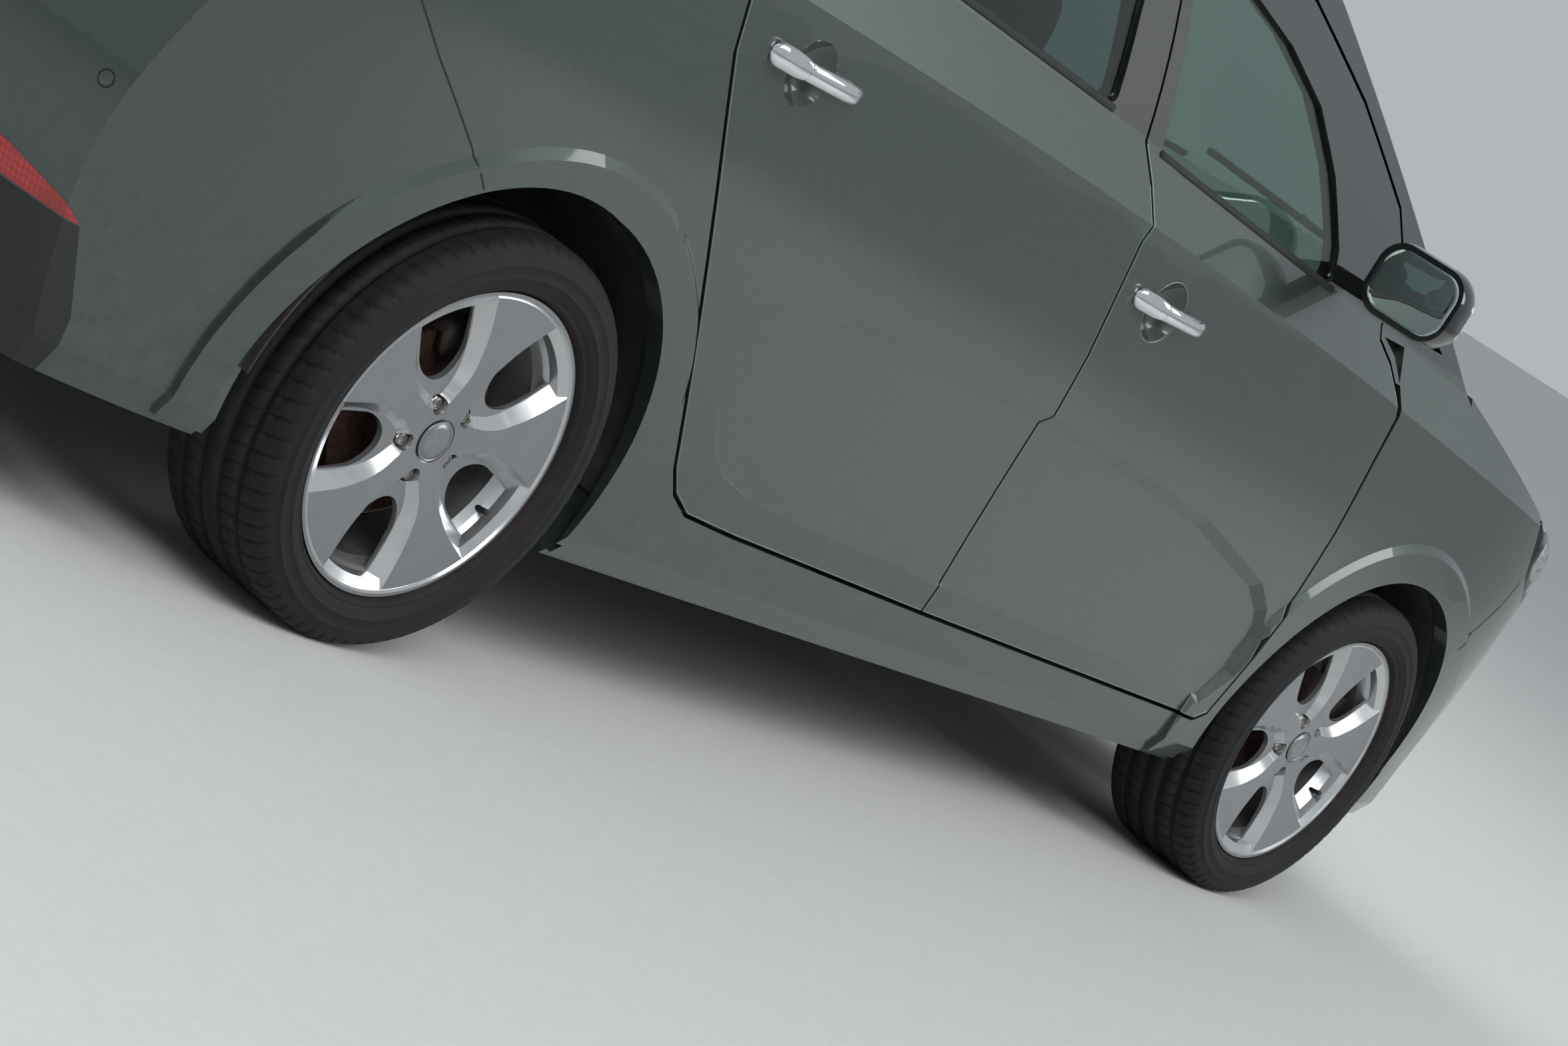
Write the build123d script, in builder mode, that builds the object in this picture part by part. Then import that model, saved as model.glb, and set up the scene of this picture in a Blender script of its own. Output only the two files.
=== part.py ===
from build123d import *
import os
from math import atan2, cos, radians, sin

os.makedirs("parts", exist_ok=True)

# Compact minivan, millimetres. X points forward, Y to the left, Z up, and the origin is on the
# ground below the middle of the car.

# Overall size
length = 4525
width = 1805
height = 1610
wheelbase = 2750
front_overhang = 900
track = 1576
half_length = length / 2
half_width = width / 2
front_axle_x = half_length - front_overhang
rear_axle_x = front_axle_x - wheelbase
wheel_y = track / 2

# Tyres and wheels
tyre_radius = 317
tyre_width = 225
flange_radius = 236
lug_circle = 114.3
lug_hole_radius = 13
window_turns = (57.5, 129.5, 201.5, 273.5, 345.5)
window_floor_y = 72
window_bevel_depth = 28
disc_radius = 140

# Panels and clearances
sill_height = 205
door_gap = 6
panel_seam = 0.3
door_thickness = 68
frame_thickness = 38
door_pocket = 6
wall_thickness = 128
pillar_thickness = 84
roof_thickness = 42
glass_thickness = 5
glass_inset = 8
rear_glass_inset = 6
wing_thickness = 22
bumper_thickness = 35
tailgate_thickness = 60
cowl_top = 27
cowl_thickness = 10
scuttle_thickness = 40
windscreen_inset = 6
arch_radius = 376
arch_offset = 6
liner_thickness = 4

# Side skin: sections along the car, each drawn in by a gentle barrel and by the rounded corners
skin_stations = (-2290, -2100, -1800, -1400, -900, -300, 300, 900, 1400, 1800, 2100, 2290)
flare_rise = 10
flare_foot = 215
corner_start = 1500
nose_corner = 340
tail_corner = 190
roof_peak = height - 2
roof_peak_x = -500

# Bonnet level: height at the middle and at the edge of each section
deck_stations = (
    # x, middle, edge
    (2300, 672, 560),
    (2180, 752, 664),
    (2020, 832, 764),
    (1840, 902, 842),
    (1650, 966, 906),
    (1450, 1026, 966),
    (1250, 1080, 1020),
)
deck_back = 1250

# Nose and tail outlines: distance in from the end of the car, height. Each third point ends an arc
nose_profile = ((75, 180), (28, 270), (4, 380), (0, 500), (8, 620), (52, 715), (150, 800))
nose_top = ((150, 1700),)
nose_bow = 2300
tail_profile = ((90, 180), (44, 310), (8, 450), (0, 570), (12, 690), (24, 735), (48, 762), (55, 940),
                (82, 1122), (146, 1300), (228, 1470))
tail_top = ((182, 1478), (186, 1700))
tail_bow = 2600

# Windscreen: foot and head of its middle line, and its bow
screen_foot = (1545, 1012)
screen_head = (400, 1545)
screen_bow = 3200

# Shut lines seen from the side, from the sill to the belt
front_shut = ((926, 303), (958, 322), (970, 453), (977, 590), (964, 717), (935, 866), (922, 950),
              (890, 988), (846, 1025), (790, 1052))
middle_shut = ((-64, 318), (-76, 551), (-83, 705), (-97, 810), (-121, 909), (-142, 1006),
               (-137, 1038), (-164, 1091), (-205, 1145))
rear_shut = ((-640, 331), (-780, 338), (-836, 363), (-875, 400), (-941, 488), (-1104, 706),
             (-1244, 894), (-1300, 972), (-1338, 1060), (-1352, 1150), (-1350, 1230))
front_frame_top = ((762, 1200), (700, 1262), (465, 1380), (212, 1476), (0, 1512), (-262, 1524))
rear_frame_top = ((-262, 1524), (-600, 1518), (-1000, 1490), (-1230, 1440), (-1325, 1340))

# Door hinges: where each upright axis stands, and the gooseneck arms on it
front_hinge = (880, 876)
rear_hinge = (-172, 878)
hinge_heights = (730, 905)
hinge_foot_y = 774
hinge_pin_radius = 5
running_gap = 0.05
hinge_eye_radius = 8
hinge_arm_height = 24
hinge_foot_length = 84
hinge_foot_thickness = 22
hinge_notch_gap = 3
hinge_pockets = (
    # x, y, radius, low z, high z, outer y
    (880, 876, 120, 299, 327, 850),
    (880, 876, 120, 326, 1000, 1000),
    (-172, 878, 141, 315, 321, 850),
    (-172, 878, 141, 320.5, 480, 1000),
    (-172, 878, 120, 479, 1000, 1000),
    (-172, 878, 82, 999, 1120, 1000),
)

# Bonnet and tailgate hinges, across the car: x and z of each axis
bonnet_hinge = (1458, 985)
bonnet_hinge_y = 620
tailgate_hinge = (-1985, 1535)
tailgate_hinge_y = 200
tailgate_front = -1976
roof_back = -1965.5

# Strut towers
tower_centre = (front_axle_x, 612)
tower_radius = 96
tower_top = 838

# Steering wheel: its centre, and the column's rise
wheel_centre = (600, 370, 950)
wheel_tilt = 25

# Steering axes: where they meet the lower arms, and their lean inwards
steer_foot_y = 745
steer_foot_z = 184
steer_lean = 12
pivot_radius = 9
spindle_radius = 20


def outline_face(points, plane):
    """A straight-sided outline on a plane, as a sketch."""
    with BuildSketch(plane) as sketch:
        with BuildLine():
            Polyline(*points, close=True)
        make_face()
    return sketch.sketch


def side_prism(points, inner=0, outer=1000):
    """An outline seen from the side, run from the middle plane out to the left."""
    with BuildPart() as prism:
        add(outline_face(points, Plane.XZ.offset(-outer)))
        extrude(amount=outer - inner, dir=(0, -1, 0))
    return prism.part


def front_prism(points, low_x, high_x):
    """An outline seen from the front, run along the car."""
    with BuildPart() as prism:
        add(outline_face(points, Plane.YZ.offset(low_x)))
        extrude(amount=high_x - low_x, dir=(1, 0, 0))
    return prism.part


def plan_prism(points, low_z, high_z):
    """An outline seen from above, run upwards."""
    with BuildPart() as prism:
        add(outline_face(points, Plane.XY.offset(low_z)))
        extrude(amount=high_z - low_z, dir=(0, 0, 1))
    return prism.part


def block(low, high):
    """A box between two corners."""
    with BuildPart() as box:
        with Locations([(low[0], low[1], low[2])]):
            Box(high[0] - low[0], high[1] - low[1], high[2] - low[2], align=(Align.MIN,) * 3)
    return box.part


def drawn_in(x):
    """How far the side lies inside its widest line at x."""
    barrel = 2 + 3e-6 * x ** 2
    past = max(abs(x) - corner_start, 0) / (2290 - corner_start)
    return barrel + (nose_corner if x > 0 else tail_corner) * past ** 3


def shoulder_height(x):
    return 1030 - 0.058 * x - 14e-6 * x ** 2


def belt_height(x):
    return 1128 - 0.066 * x - 6e-6 * x ** 2


def roof_height(x):
    return roof_peak - 28e-6 * (x - roof_peak_x) ** 2


def skin(low=0, high=0, drop=0, scoop=0, whole=True):
    """The body side and roof as one long loft, drawn in below the belt, above it and at the roof."""
    with BuildPart() as tunnel:
        for x in skin_stations:
            w = half_width - drawn_in(x)
            lower = w - low
            upper = w - high
            shoulder = shoulder_height(x)
            belt = belt_height(x)
            top = roof_height(x) - drop
            rail = top - 95
            with BuildSketch(Plane.YZ.offset(x)):
                with BuildLine():
                    Polyline((0, sill_height), (lower - 60, sill_height), (lower - 36, 250),
                             (lower - 28, 345))
                    ThreePointArc((lower - 28, 345), (lower - 5 - scoop, (345 + shoulder) / 2),
                                  (lower - 4, shoulder))
                    Line((lower - 4, shoulder), (upper - 56, belt))
                    ThreePointArc((upper - 56, belt), (upper - 112, (belt + rail) / 2 + 10),
                                  (upper - 190, rail))
                    ThreePointArc((upper - 190, rail), (upper - 228, top - 54), (upper - 300, top - 27))
                    ThreePointArc((upper - 300, top - 27), ((upper - 300) / 2, top - 7), (0, top))
                    Line((0, top), (0, sill_height))
                make_face()
                if whole:
                    mirror(about=Plane.YZ)
        loft()
    return tunnel.part


def end_cap(profile, top, end_x, bow, inset=0):
    """The nose or tail: its side outline turned about an upright axis, and all beyond that axis."""
    facing = 1 if end_x > 0 else -1
    foot_z = profile[0][1]
    head_z = top[-1][1]
    points = [(bow - step - inset, z) for step, z in profile]
    upper = [(bow - step - inset, z) for step, z in top]
    with BuildPart() as cap:
        with BuildSketch(Plane.XZ):
            with BuildLine():
                Line((0, foot_z), points[0])
                for i in range(0, len(points) - 2, 2):
                    ThreePointArc(*points[i:i + 3])
                Polyline(points[-1], *upper, (0, head_z), (0, foot_z))
            make_face()
        revolve(axis=Axis.Z)
        with Locations((-facing * bow, 0, foot_z)):
            Box(2 * bow, 2 * half_length, head_z - foot_z, align=(Align.CENTER, Align.CENTER, Align.MIN))
    return Pos(end_x - facing * bow, 0, 0) * cap.part


def deck(drop=0):
    """Everything below the bonnet's crowned surface."""
    with BuildPart() as slab:
        for x, middle, edge in deck_stations:
            with BuildSketch(Plane.YZ.offset(x)):
                with BuildLine():
                    Line((-1000, 150), (1000, 150))
                    Line((1000, 150), (1000, edge - drop))
                    ThreePointArc((1000, edge - drop), (0, middle - drop), (-1000, edge - drop))
                    Line((-1000, edge - drop), (-1000, 150))
                make_face()
        loft()
        add(block((-2300, -1000, 150), (deck_back, 1000, deck_stations[-1][2] - drop)))
    return slab.part


def behind_screen(setback=0):
    """Everything behind the bowed windscreen: a round bar whose side is the glass."""
    rise = atan2(screen_head[1] - screen_foot[1], screen_foot[0] - screen_head[0])
    along = (-cos(rise), 0, sin(rise))
    normal = (sin(rise), 0, cos(rise))
    start = (
        screen_foot[0] - along[0] * 2000 - normal[0] * (screen_bow + setback),
        0,
        screen_foot[1] - along[2] * 2000 - normal[2] * (screen_bow + setback),
    )
    with BuildPart() as bar:
        with BuildSketch(Plane(origin=start, x_dir=(0, 1, 0), z_dir=along)):
            Circle(screen_bow)
        extrude(amount=7000)
    return bar.part


def round_flares():
    """The raised bands round the wheel arches, on the left side: a wider skin inside two shallow cones."""
    with BuildPart() as cones:
        for axle_x in (front_axle_x, rear_axle_x):
            with BuildSketch(Plane(origin=(axle_x, 0, tyre_radius))):
                with BuildLine():
                    Polyline((360, 800), (360, half_width), (438, half_width), (484, 872),
                             (484, 800), close=True)
                make_face()
            revolve(axis=Axis((axle_x, 0, tyre_radius), (0, 1, 0)))
    return cones.part & skin(low=-flare_rise, whole=False)


def arch_cutter():
    """The openings of both left wheel arches: a lip at the skin, and the liner's seat behind it."""
    front_seat = liner_radii[0] + panel_seam
    rear_seat = liner_radii[1] + panel_seam
    rounds = (
        # axle, shift, radius, inner, outer
        (front_axle_x, arch_offset, arch_radius, 500, 1000),
        (front_axle_x, 0, front_seat, liner_inner_y, lip_y),
        (rear_axle_x, 0, arch_radius + 10, 500, 1000),
        (rear_axle_x, -30, arch_radius + 16, lip_y - 10, 1000),
        (rear_axle_x, 0, rear_seat, liner_inner_y, lip_y),
    )
    with BuildPart() as cutter:
        for axle_x, shift, radius, inner, outer in rounds:
            with BuildSketch(Plane.XZ.offset(-outer)):
                with Locations((axle_x + shift, tyre_radius)):
                    Circle(radius)
            extrude(amount=outer - inner, dir=(0, -1, 0))
    return cutter.part


def grown(points, amount, plane):
    """An outline grown, or shrunk by a negative amount, with sharp corners."""
    with BuildSketch(plane) as sketch:
        with BuildLine():
            Polyline(*points, close=True)
        make_face()
        offset(amount=amount, kind=Kind.INTERSECTION)
    return sketch.sketch


def window_prism(points, amount=0, radius=14):
    """A window's outline with round corners, run out to the left."""
    with BuildPart() as prism:
        with BuildSketch(Plane.XZ.offset(-1000)) as sketch:
            with BuildLine():
                Polyline(*points, close=True)
            make_face()
            fillet(sketch.vertices(), radius)
            if amount:
                offset(amount=amount)
        extrude(amount=400, dir=(0, -1, 0))
    return prism.part


def grown_side_prism(points, amount, inner=0, outer=1000):
    """A side outline grown by an amount and run out to the left."""
    with BuildPart() as prism:
        add(grown(points, amount, Plane.XZ.offset(-outer)))
        extrude(amount=outer - inner, dir=(0, -1, 0))
    return prism.part


def both_sides(shape):
    """A left piece and its mirror image on the right."""
    return shape + mirror(shape, about=Plane.XZ)


def upright_bar(centre, radius, low_z, high_z):
    """A round bar standing at x, y."""
    with BuildPart() as bar:
        with BuildSketch(Plane.XY.offset(low_z)):
            with Locations(centre):
                Circle(radius)
        extrude(amount=high_z - low_z)
    return bar.part


def cross_bar(centre, radius, low_y, high_y):
    """A round bar across the car at x, z."""
    with BuildPart() as bar:
        with BuildSketch(Plane.XZ.offset(-high_y)):
            with Locations(centre):
                Circle(radius)
        extrude(amount=high_y - low_y, dir=(0, -1, 0))
    return bar.part


def hinge_notches(hinge):
    """What a left door loses to its two hinges: room for the arms, and bores for their pins."""
    x, y = hinge
    half = hinge_arm_height / 2 + hinge_notch_gap
    side = hinge_eye_radius + hinge_notch_gap
    with BuildPart() as notches:
        for z in hinge_heights:
            add(block((x - side, 600, z - half), (x + 120, y, z + half)))
            add(block((x, y - 1, z - half), (x + 120, y + side - 1, z + half)))
            add(upright_bar(hinge, side, z - half, z + half))
            add(upright_bar(hinge, hinge_pin_radius + running_gap, z - 33, z + 33))
    return notches.part


def hinge_arms(hinge):
    """The two gooseneck arms of a left door's hinges, with their pins."""
    x, y = hinge
    half = hinge_arm_height / 2
    with BuildPart() as arms:
        for z in hinge_heights:
            inner_y = hinge_foot_y - hinge_foot_thickness
            add(block((x - hinge_eye_radius, inner_y, z - half), (x + hinge_eye_radius, y, z + half)))
            add(block((x, inner_y, z - half), (x + hinge_foot_length, hinge_foot_y, z + half)))
            add(upright_bar(hinge, hinge_eye_radius, z - half, z + half))
            add(upright_bar(hinge, hinge_pin_radius, z - 32, z + 32))
    return arms.part


def bonnet_ears():
    """The ears behind the bonnet that turn on its hinge pins."""
    x, z = bonnet_hinge
    with BuildPart() as ears:
        for side in (1, -1):
            with BuildSketch(Plane.XZ.offset(-side * bonnet_hinge_y + 4)):
                with BuildLine():
                    Polyline((x, z - 8), (1482, z - 8), (1482, z + 8), (x, z + 8), close=True)
                make_face()
                with Locations(bonnet_hinge):
                    Circle(8)
                    Circle(hinge_pin_radius + running_gap, mode=Mode.SUBTRACT)
            extrude(amount=8, dir=(0, 1, 0))
    return ears.part


def tailgate_notches():
    """Room in the tailgate's front edge for its two hinge arms, and bores for their pins."""
    x, z = tailgate_hinge
    with BuildPart() as notches:
        for side in (1, -1):
            y = side * tailgate_hinge_y
            add(block((x - 7, y - 11, z - 60), (x + 40, y + 11, z + 6)))
            add(cross_bar(tailgate_hinge, 7, y - 11, y + 11))
            add(cross_bar(tailgate_hinge, 4 + running_gap, y - 28, y + 28))
    return notches.part


def tailgate_arms():
    """The arms under the roof's rear edge that carry the tailgate's pins."""
    x, z = tailgate_hinge
    foot_z = roof_height(roof_back) - roof_thickness - 12.5
    with BuildPart() as arms:
        for side in (1, -1):
            y = side * tailgate_hinge_y
            with BuildSketch(Plane.XZ.offset(-y - 8)):
                with BuildLine():
                    Polyline((x - 4, z), (x + 4, z), (x + 4, z - 14), (x + 18, foot_z + 6),
                             (x + 70, foot_z + 6), (x + 70, foot_z - 4), (x + 8, foot_z - 4),
                             (x - 4, z - 18), close=True)
                make_face()
                with Locations(tailgate_hinge):
                    Circle(4.2)
            extrude(amount=16, dir=(0, -1, 0))
            add(cross_bar(tailgate_hinge, 4, y - 27, y + 27))
    return arms.part


def write(shape, name):
    """Label a finished piece and write it."""
    with BuildPart() as piece:
        add(shape)
    piece.part.label = name
    export_step(piece.part, "parts/" + name + ".step")


# Side outlines of the doors and their windows
front_door_line = middle_shut[:1] + front_shut + front_frame_top + middle_shut[:0:-1]
rear_door_line = middle_shut + rear_frame_top + rear_shut[::-1]
front_window_line = ((-150, 1145), (560, 1092), (530, 1150), (430, 1250), (310, 1335), (160, 1392),
                     (0, 1428),
                     (-215, 1448), (-182, 1290))
rear_window_line = ((-330, 1168), (-345, 1300), (-350, 1452), (-700, 1448), (-1020, 1420), (-1190, 1370),
                    (-1262, 1290), (-1285, 1222))
rear_quarter_line = ((-1445, 1245), (-1428, 1345), (-1350, 1425), (-1600, 1408), (-1790, 1350),
                     (-1890, 1262))
front_quarter_line = ((835, 1080), (828, 1165), (1060, 1080))
bonnet_plan = ((1590, 0), (1560, 350), (1478, 600), (1478, 772), (1700, 742), (1900, 690), (2040, 610),
               (2110, 480), (2160, 250), (2172, 0), (2160, -250), (2110, -480), (2040, -610), (1900, -690),
               (1700, -742), (1478, -772), (1478, -600), (1560, -350))
tailgate_line = ((-560, 772), (560, 772), (610, 870), (652, 1000), (668, 1130), (640, 1300), (590, 1440),
                 (540, 1495), (540, 1560), (-540, 1560), (-540, 1495), (-590, 1440), (-640, 1300),
                 (-668, 1130), (-652, 1000), (-610, 870))
rear_glass_line = ((-570, 1135), (570, 1135), (530, 1300), (460, 1430), (-460, 1430), (-530, 1300))
screen_line = ((-770, 1040), (770, 1040), (715, 1244), (610, 1490), (-610, 1490), (-715, 1244))
wing_line = ((962, 326), (974, 453), (981, 590), (968, 717), (941, 866), (931, 953), (904, 998), (863, 1038),
             (806, 1060), (1250, 1060), (1700, 985), (1690, 898), (1790, 790), (1760, 720), (1640, 578),
             (1500, 326))
front_lamp_line = ((1690, 898), (1790, 790), (1950, 715), (2120, 675), (2300, 665), (2300, 900), (1900, 940))
front_lamp_plan = ((1670, 900), (1690, 790), (1950, 640), (2050, 430), (2300, 430), (2300, 950))
plate_face_x = 2244
grille_line = ((-425, 704), (-405, 664), (-330, 642), (330, 642), (405, 664), (425, 704),
               (330, 712), (-330, 712))
intake_line = ((-560, 330), (-520, 240), (520, 240), (560, 330), (520, 348), (-520, 348))
fog_line = ((640, 330), (740, 350), (760, 450), (650, 420))
front_bumper_line = ((1640, 150), (1640, 578), (1760, 720), (1790, 790), (1690, 898), (1900, 940),
                     (2300, 940), (2300, 150))
rear_bumper_line = ((-1600, 150), (-1600, 653), (-1665, 705), (-1806, 793), (-1890, 854), (-1960, 872),
                    (-2300, 872), (-2300, 150))
rear_cladding_line = ((-2104, 398), (-2048, 289), (-2020, 140), (-2310, 140), (-2310, 400), (-2220, 398))
reflector_line = ((-2104, 400), (-2165, 440), (-2230, 468), (-2310, 474), (-2310, 404), (-2220, 402))
rear_lamp_line = ((-1960, 872), (-2300, 872), (-2300, 1128), (-2010, 1140))
rear_lamp_plan = ((-1940, 900), (-1975, 780), (-2150, 680), (-2300, 560), (-2300, 900))
recess_line = ((-913, 640), (-872, 668), (-686, 680), (-241, 672), (152, 652), (539, 614), (707, 580),
               (833, 555), (904, 520), (944, 478), (932, 410), (895, 350), (553, 362), (166, 372),
               (-189, 388), (-493, 396), (-681, 408), (-753, 424), (-805, 455), (-880, 545))
recess_depth = 17
recess_foot_y = 866
recess_slope = 50
roof_half_width = 560
sill_inner_y = 690
handle_places = {"front": (38, 930), "rear": (-1120, 998)}
handle_cup_radius = 62
handle_cup_out = 27
liner_radii = (386, 402)
liner_inner_y = 500
lip_y = 862

# Whole outer body and its inner layers
nose = end_cap(nose_profile, nose_top, half_length, nose_bow)
tail = end_cap(tail_profile, tail_top, -half_length, tail_bow)
above_belt = block((-2300, -1000, 800), (2300, 1000, 1700))
plain_body = (skin() & nose & tail) & (deck() + (behind_screen() & above_belt))
left_flares = round_flares() & block((-1900, 800, flare_foot), (1900, 1000, 900))
cut = arch_cutter()
flared = plain_body + [left_flares, mirror(left_flares, about=Plane.XZ)]
flared = flared - [cut, mirror(cut, about=Plane.XZ)]
left_body = flared & block((-2300, 500, 150), (2300, 1000, 1700))
with BuildPart() as recess:
    add(outline_face(recess_line, Plane.XZ.offset(-recess_foot_y)))
    extrude(amount=60, dir=(0, 1, 0), taper=-recess_slope)
left_body = left_body - (recess.part - skin(scoop=recess_depth, whole=False))
cabin = skin(wall_thickness, pillar_thickness, roof_thickness) & behind_screen(45)
cabin = cabin & end_cap(tail_profile, tail_top, -half_length, tail_bow, tailgate_thickness)
cabin = cabin & block((-2260, -1000, 330), (1180, 1000, 1700))
door_core = skin(door_thickness, frame_thickness, frame_thickness, whole=False)
pocket_core = skin(door_thickness + door_pocket, frame_thickness + door_pocket,
                   frame_thickness + door_pocket, whole=False)
panel_core = skin(wing_thickness, wing_thickness)
panel_core = panel_core & end_cap(nose_profile, nose_top, half_length, nose_bow, bumper_thickness)
panel_core = panel_core & end_cap(tail_profile, tail_top, -half_length, tail_bow, bumper_thickness)
panel_core = panel_core & (deck(wing_thickness) + (behind_screen(wing_thickness) & above_belt))
front_zone = flared & block((900, -1000, 150), (2300, 1000, 1100))
rear_zone = flared & block((-2300, -1000, 150), (-1590, 1000, 1600))
front_layer = front_zone - panel_core

# Wings, bonnet, front lamps and front bumper
bonnet_hole = plan_prism(bonnet_plan, 600, 1200)
with BuildPart() as bonnet_room:
    with BuildSketch(Plane.XY.offset(600)):
        with BuildLine():
            Polyline(*bonnet_plan, close=True)
        make_face()
        offset(amount=door_gap, kind=Kind.INTERSECTION)
    extrude(amount=600, dir=(0, 0, 1))
bonnet = front_layer & bonnet_hole & block((1400, -800, 700), (2200, 800, 1100))
bonnet = bonnet + bonnet_ears()
write(bonnet, "bonnet")
lamp_room = side_prism(front_lamp_line, 430) & plan_prism(front_lamp_plan, 500, 1100)
left_lamp = (front_layer & lamp_room) - bonnet_room.part
write(both_sides(left_lamp), "front_lamps")
left_wing = (front_layer & side_prism(wing_line, 640)) - bonnet_room.part - side_prism(front_lamp_line, 430)
left_wing = left_wing - front_prism(screen_line, 300, 1700)
write(both_sides(left_wing), "front_wings")
bumper_room = both_sides(side_prism(front_bumper_line))
front_bumper = (front_zone - panel_core) & bumper_room
front_bumper = front_bumper - [bonnet_room.part, lamp_room, mirror(lamp_room, about=Plane.XZ)]
front_bumper = front_bumper - block((plate_face_x, -265, 390), (2300, 265, 510))
front_bumper = front_bumper + block((half_length - 60, -265, 390), (plate_face_x, 265, 510))
grille_rooms = [front_prism(line, 2060, 2300) for line in (grille_line, intake_line)]
fog_rooms = [front_prism([(side * y, z) for y, z in fog_line], 2000, 2300) for side in (1, -1)]
front_bumper = front_bumper - grille_rooms - [room - Pos(-24, 0, 0) * nose for room in fog_rooms]
write(front_bumper, "front_bumper")
mesh_layer = Pos(-26, 0, 0) * nose - Pos(-32, 0, 0) * nose
bar_layer = Pos(-7, 0, 0) * nose - Pos(-27, 0, 0) * nose
grille = []
for line, bars in ((grille_line, (664, 690)), (intake_line, (262, 292, 322))):
    with BuildPart() as room:
        add(grown(line, -panel_seam, Plane.YZ.offset(2060)))
        extrude(amount=240, dir=(1, 0, 0))
    grille.append(mesh_layer & room.part)
    for z in bars:
        grille[-1] = grille[-1] + (bar_layer & room.part & block((2060, -700, z - 5), (2300, 700, z + 5)))
write(grille[0] + grille[1], "grille")

# Rear bumper and lamps
tailgate_room = front_prism(tailgate_line, -2300, -1500)
tailgate_bay = grown(tailgate_line, door_gap, Plane.YZ.offset(-2300))
with BuildPart() as tailgate_opening:
    add(tailgate_bay)
    extrude(amount=800, dir=(1, 0, 0))
rear_lamp_room = side_prism(rear_lamp_line, 560) & plan_prism(rear_lamp_plan, 800, 1200)
left_rear_lamp = (rear_zone & rear_lamp_room) - tailgate_opening.part
rear_layer = (rear_zone - panel_core) & both_sides(side_prism(rear_bumper_line))
left_reflector = rear_layer & side_prism(reflector_line, 600)
write(both_sides(left_rear_lamp + left_reflector), "rear_lamps")
rear_bumper = rear_layer - tailgate_opening.part - both_sides(side_prism(rear_cladding_line, -1))
rear_bumper = rear_bumper - both_sides(grown_side_prism(reflector_line, panel_seam, 600 - panel_seam))
write(rear_bumper, "rear_bumper")
rear_cladding = rear_layer & both_sides(grown_side_prism(rear_cladding_line, -panel_seam))
rear_cladding = rear_cladding - both_sides(grown_side_prism(reflector_line, panel_seam, 600 - panel_seam))
rear_cladding = rear_cladding - block((-2290, -300, 196), (-2100, 300, 236))
write(rear_cladding, "rear_cladding")

# Tailgate and its glass
rear_shell = rear_zone - cabin
tailgate = rear_shell & tailgate_room & block((-2300, -800, 700), (tailgate_front, 800, 1600))
rear_glass_hole = front_prism(rear_glass_line, -2300, -1990)
tailgate = tailgate - rear_glass_hole - tailgate_notches()
tailgate = tailgate - block((-2300, -272, 822), (-2190, 272, 942))
write(tailgate, "tailgate")
rear_glass = end_cap(tail_profile, tail_top, -half_length, tail_bow, rear_glass_inset)
rear_glass_back = rear_glass_inset + glass_thickness
rear_glass = rear_glass - end_cap(tail_profile, tail_top, -half_length, tail_bow, rear_glass_back)
with BuildPart() as glass_room:
    add(grown(rear_glass_line, -panel_seam, Plane.YZ.offset(-2300)))
    extrude(amount=290, dir=(1, 0, 0))
write(rear_glass & glass_room.part, "tailgate_glass")

# Doors with their glass
door_band = left_body & block((-1400, 700, 290), (1100, 1000, 1560))
door_layer = door_band - door_core
glass_back = glass_inset + glass_thickness
glass_band = block((-2000, 600, 1000), (1200, 1000, 1560))
glass_layer = skin(glass_inset, glass_inset, whole=False) & glass_band
glass_layer = glass_layer - skin(glass_back, glass_back, whole=False)
half_gap = door_gap / 2 + 0.5
side_doors = (("front", front_door_line, front_window_line, front_hinge),
              ("rear", rear_door_line, rear_window_line, rear_hinge))
for name, line, window, hinge in side_doors:
    door = (door_layer & grown_side_prism(line, -half_gap, 600)) - window_prism(window)
    door = door - hinge_notches(hinge)
    x, z = handle_places[name]
    door = door - Pos(x - 6, half_width + handle_cup_out, z - 4) * Sphere(handle_cup_radius)
    write(door, name + "_left_door")
    write(mirror(door, about=Plane.XZ), name + "_right_door")
    pane = glass_layer & window_prism(window, -panel_seam)
    write(pane, name + "_left_glass")
    write(mirror(pane, about=Plane.XZ), name + "_right_glass")

# Side frames: pillars, sills and rear quarters
left_shell = left_body - cabin
pillar_foot = block((1180, roof_half_width, 1000), (1460, 1000, 1110))
side_frame = left_shell & (block((-2300, roof_half_width, 205), (1180, 1000, 1700)) + pillar_foot)
pockets = [grown_side_prism(line, half_gap, 500) - pocket_core for line in (front_door_line, rear_door_line)]
apertures = [grown_side_prism(line, -45, 500) for line in (front_door_line, rear_door_line)]
wing_bay = side_prism(wing_line, 500) - panel_core
quarter_holes = [side_prism(rear_quarter_line, 500), side_prism(front_quarter_line, 500)]
side_frame = side_frame - pockets
side_frame = side_frame - apertures - quarter_holes - front_prism(screen_line, 300, 1700)
side_frame = side_frame - wing_bay - side_prism(rear_bumper_line, 500)
side_frame = side_frame - rear_lamp_room - tailgate_opening.part
side_frame = side_frame - block((-2300, 500, 150), (1200, sill_inner_y, 330))
for x, y, radius, low_z, high_z, outer_y in hinge_pockets:
    pocket = upright_bar((x, y), radius, low_z, high_z)
    side_frame = side_frame - (pocket & block((x - radius, 500, low_z), (x + radius, outer_y, high_z)))
write(both_sides(side_frame), "side_frames")

# Fixed side glass
quarter_panes = [glass_layer & grown_side_prism(line, -panel_seam, 600)
                 for line in (rear_quarter_line, front_quarter_line)]
write(both_sides(quarter_panes[0] + quarter_panes[1]), "quarter_glass")

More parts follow.
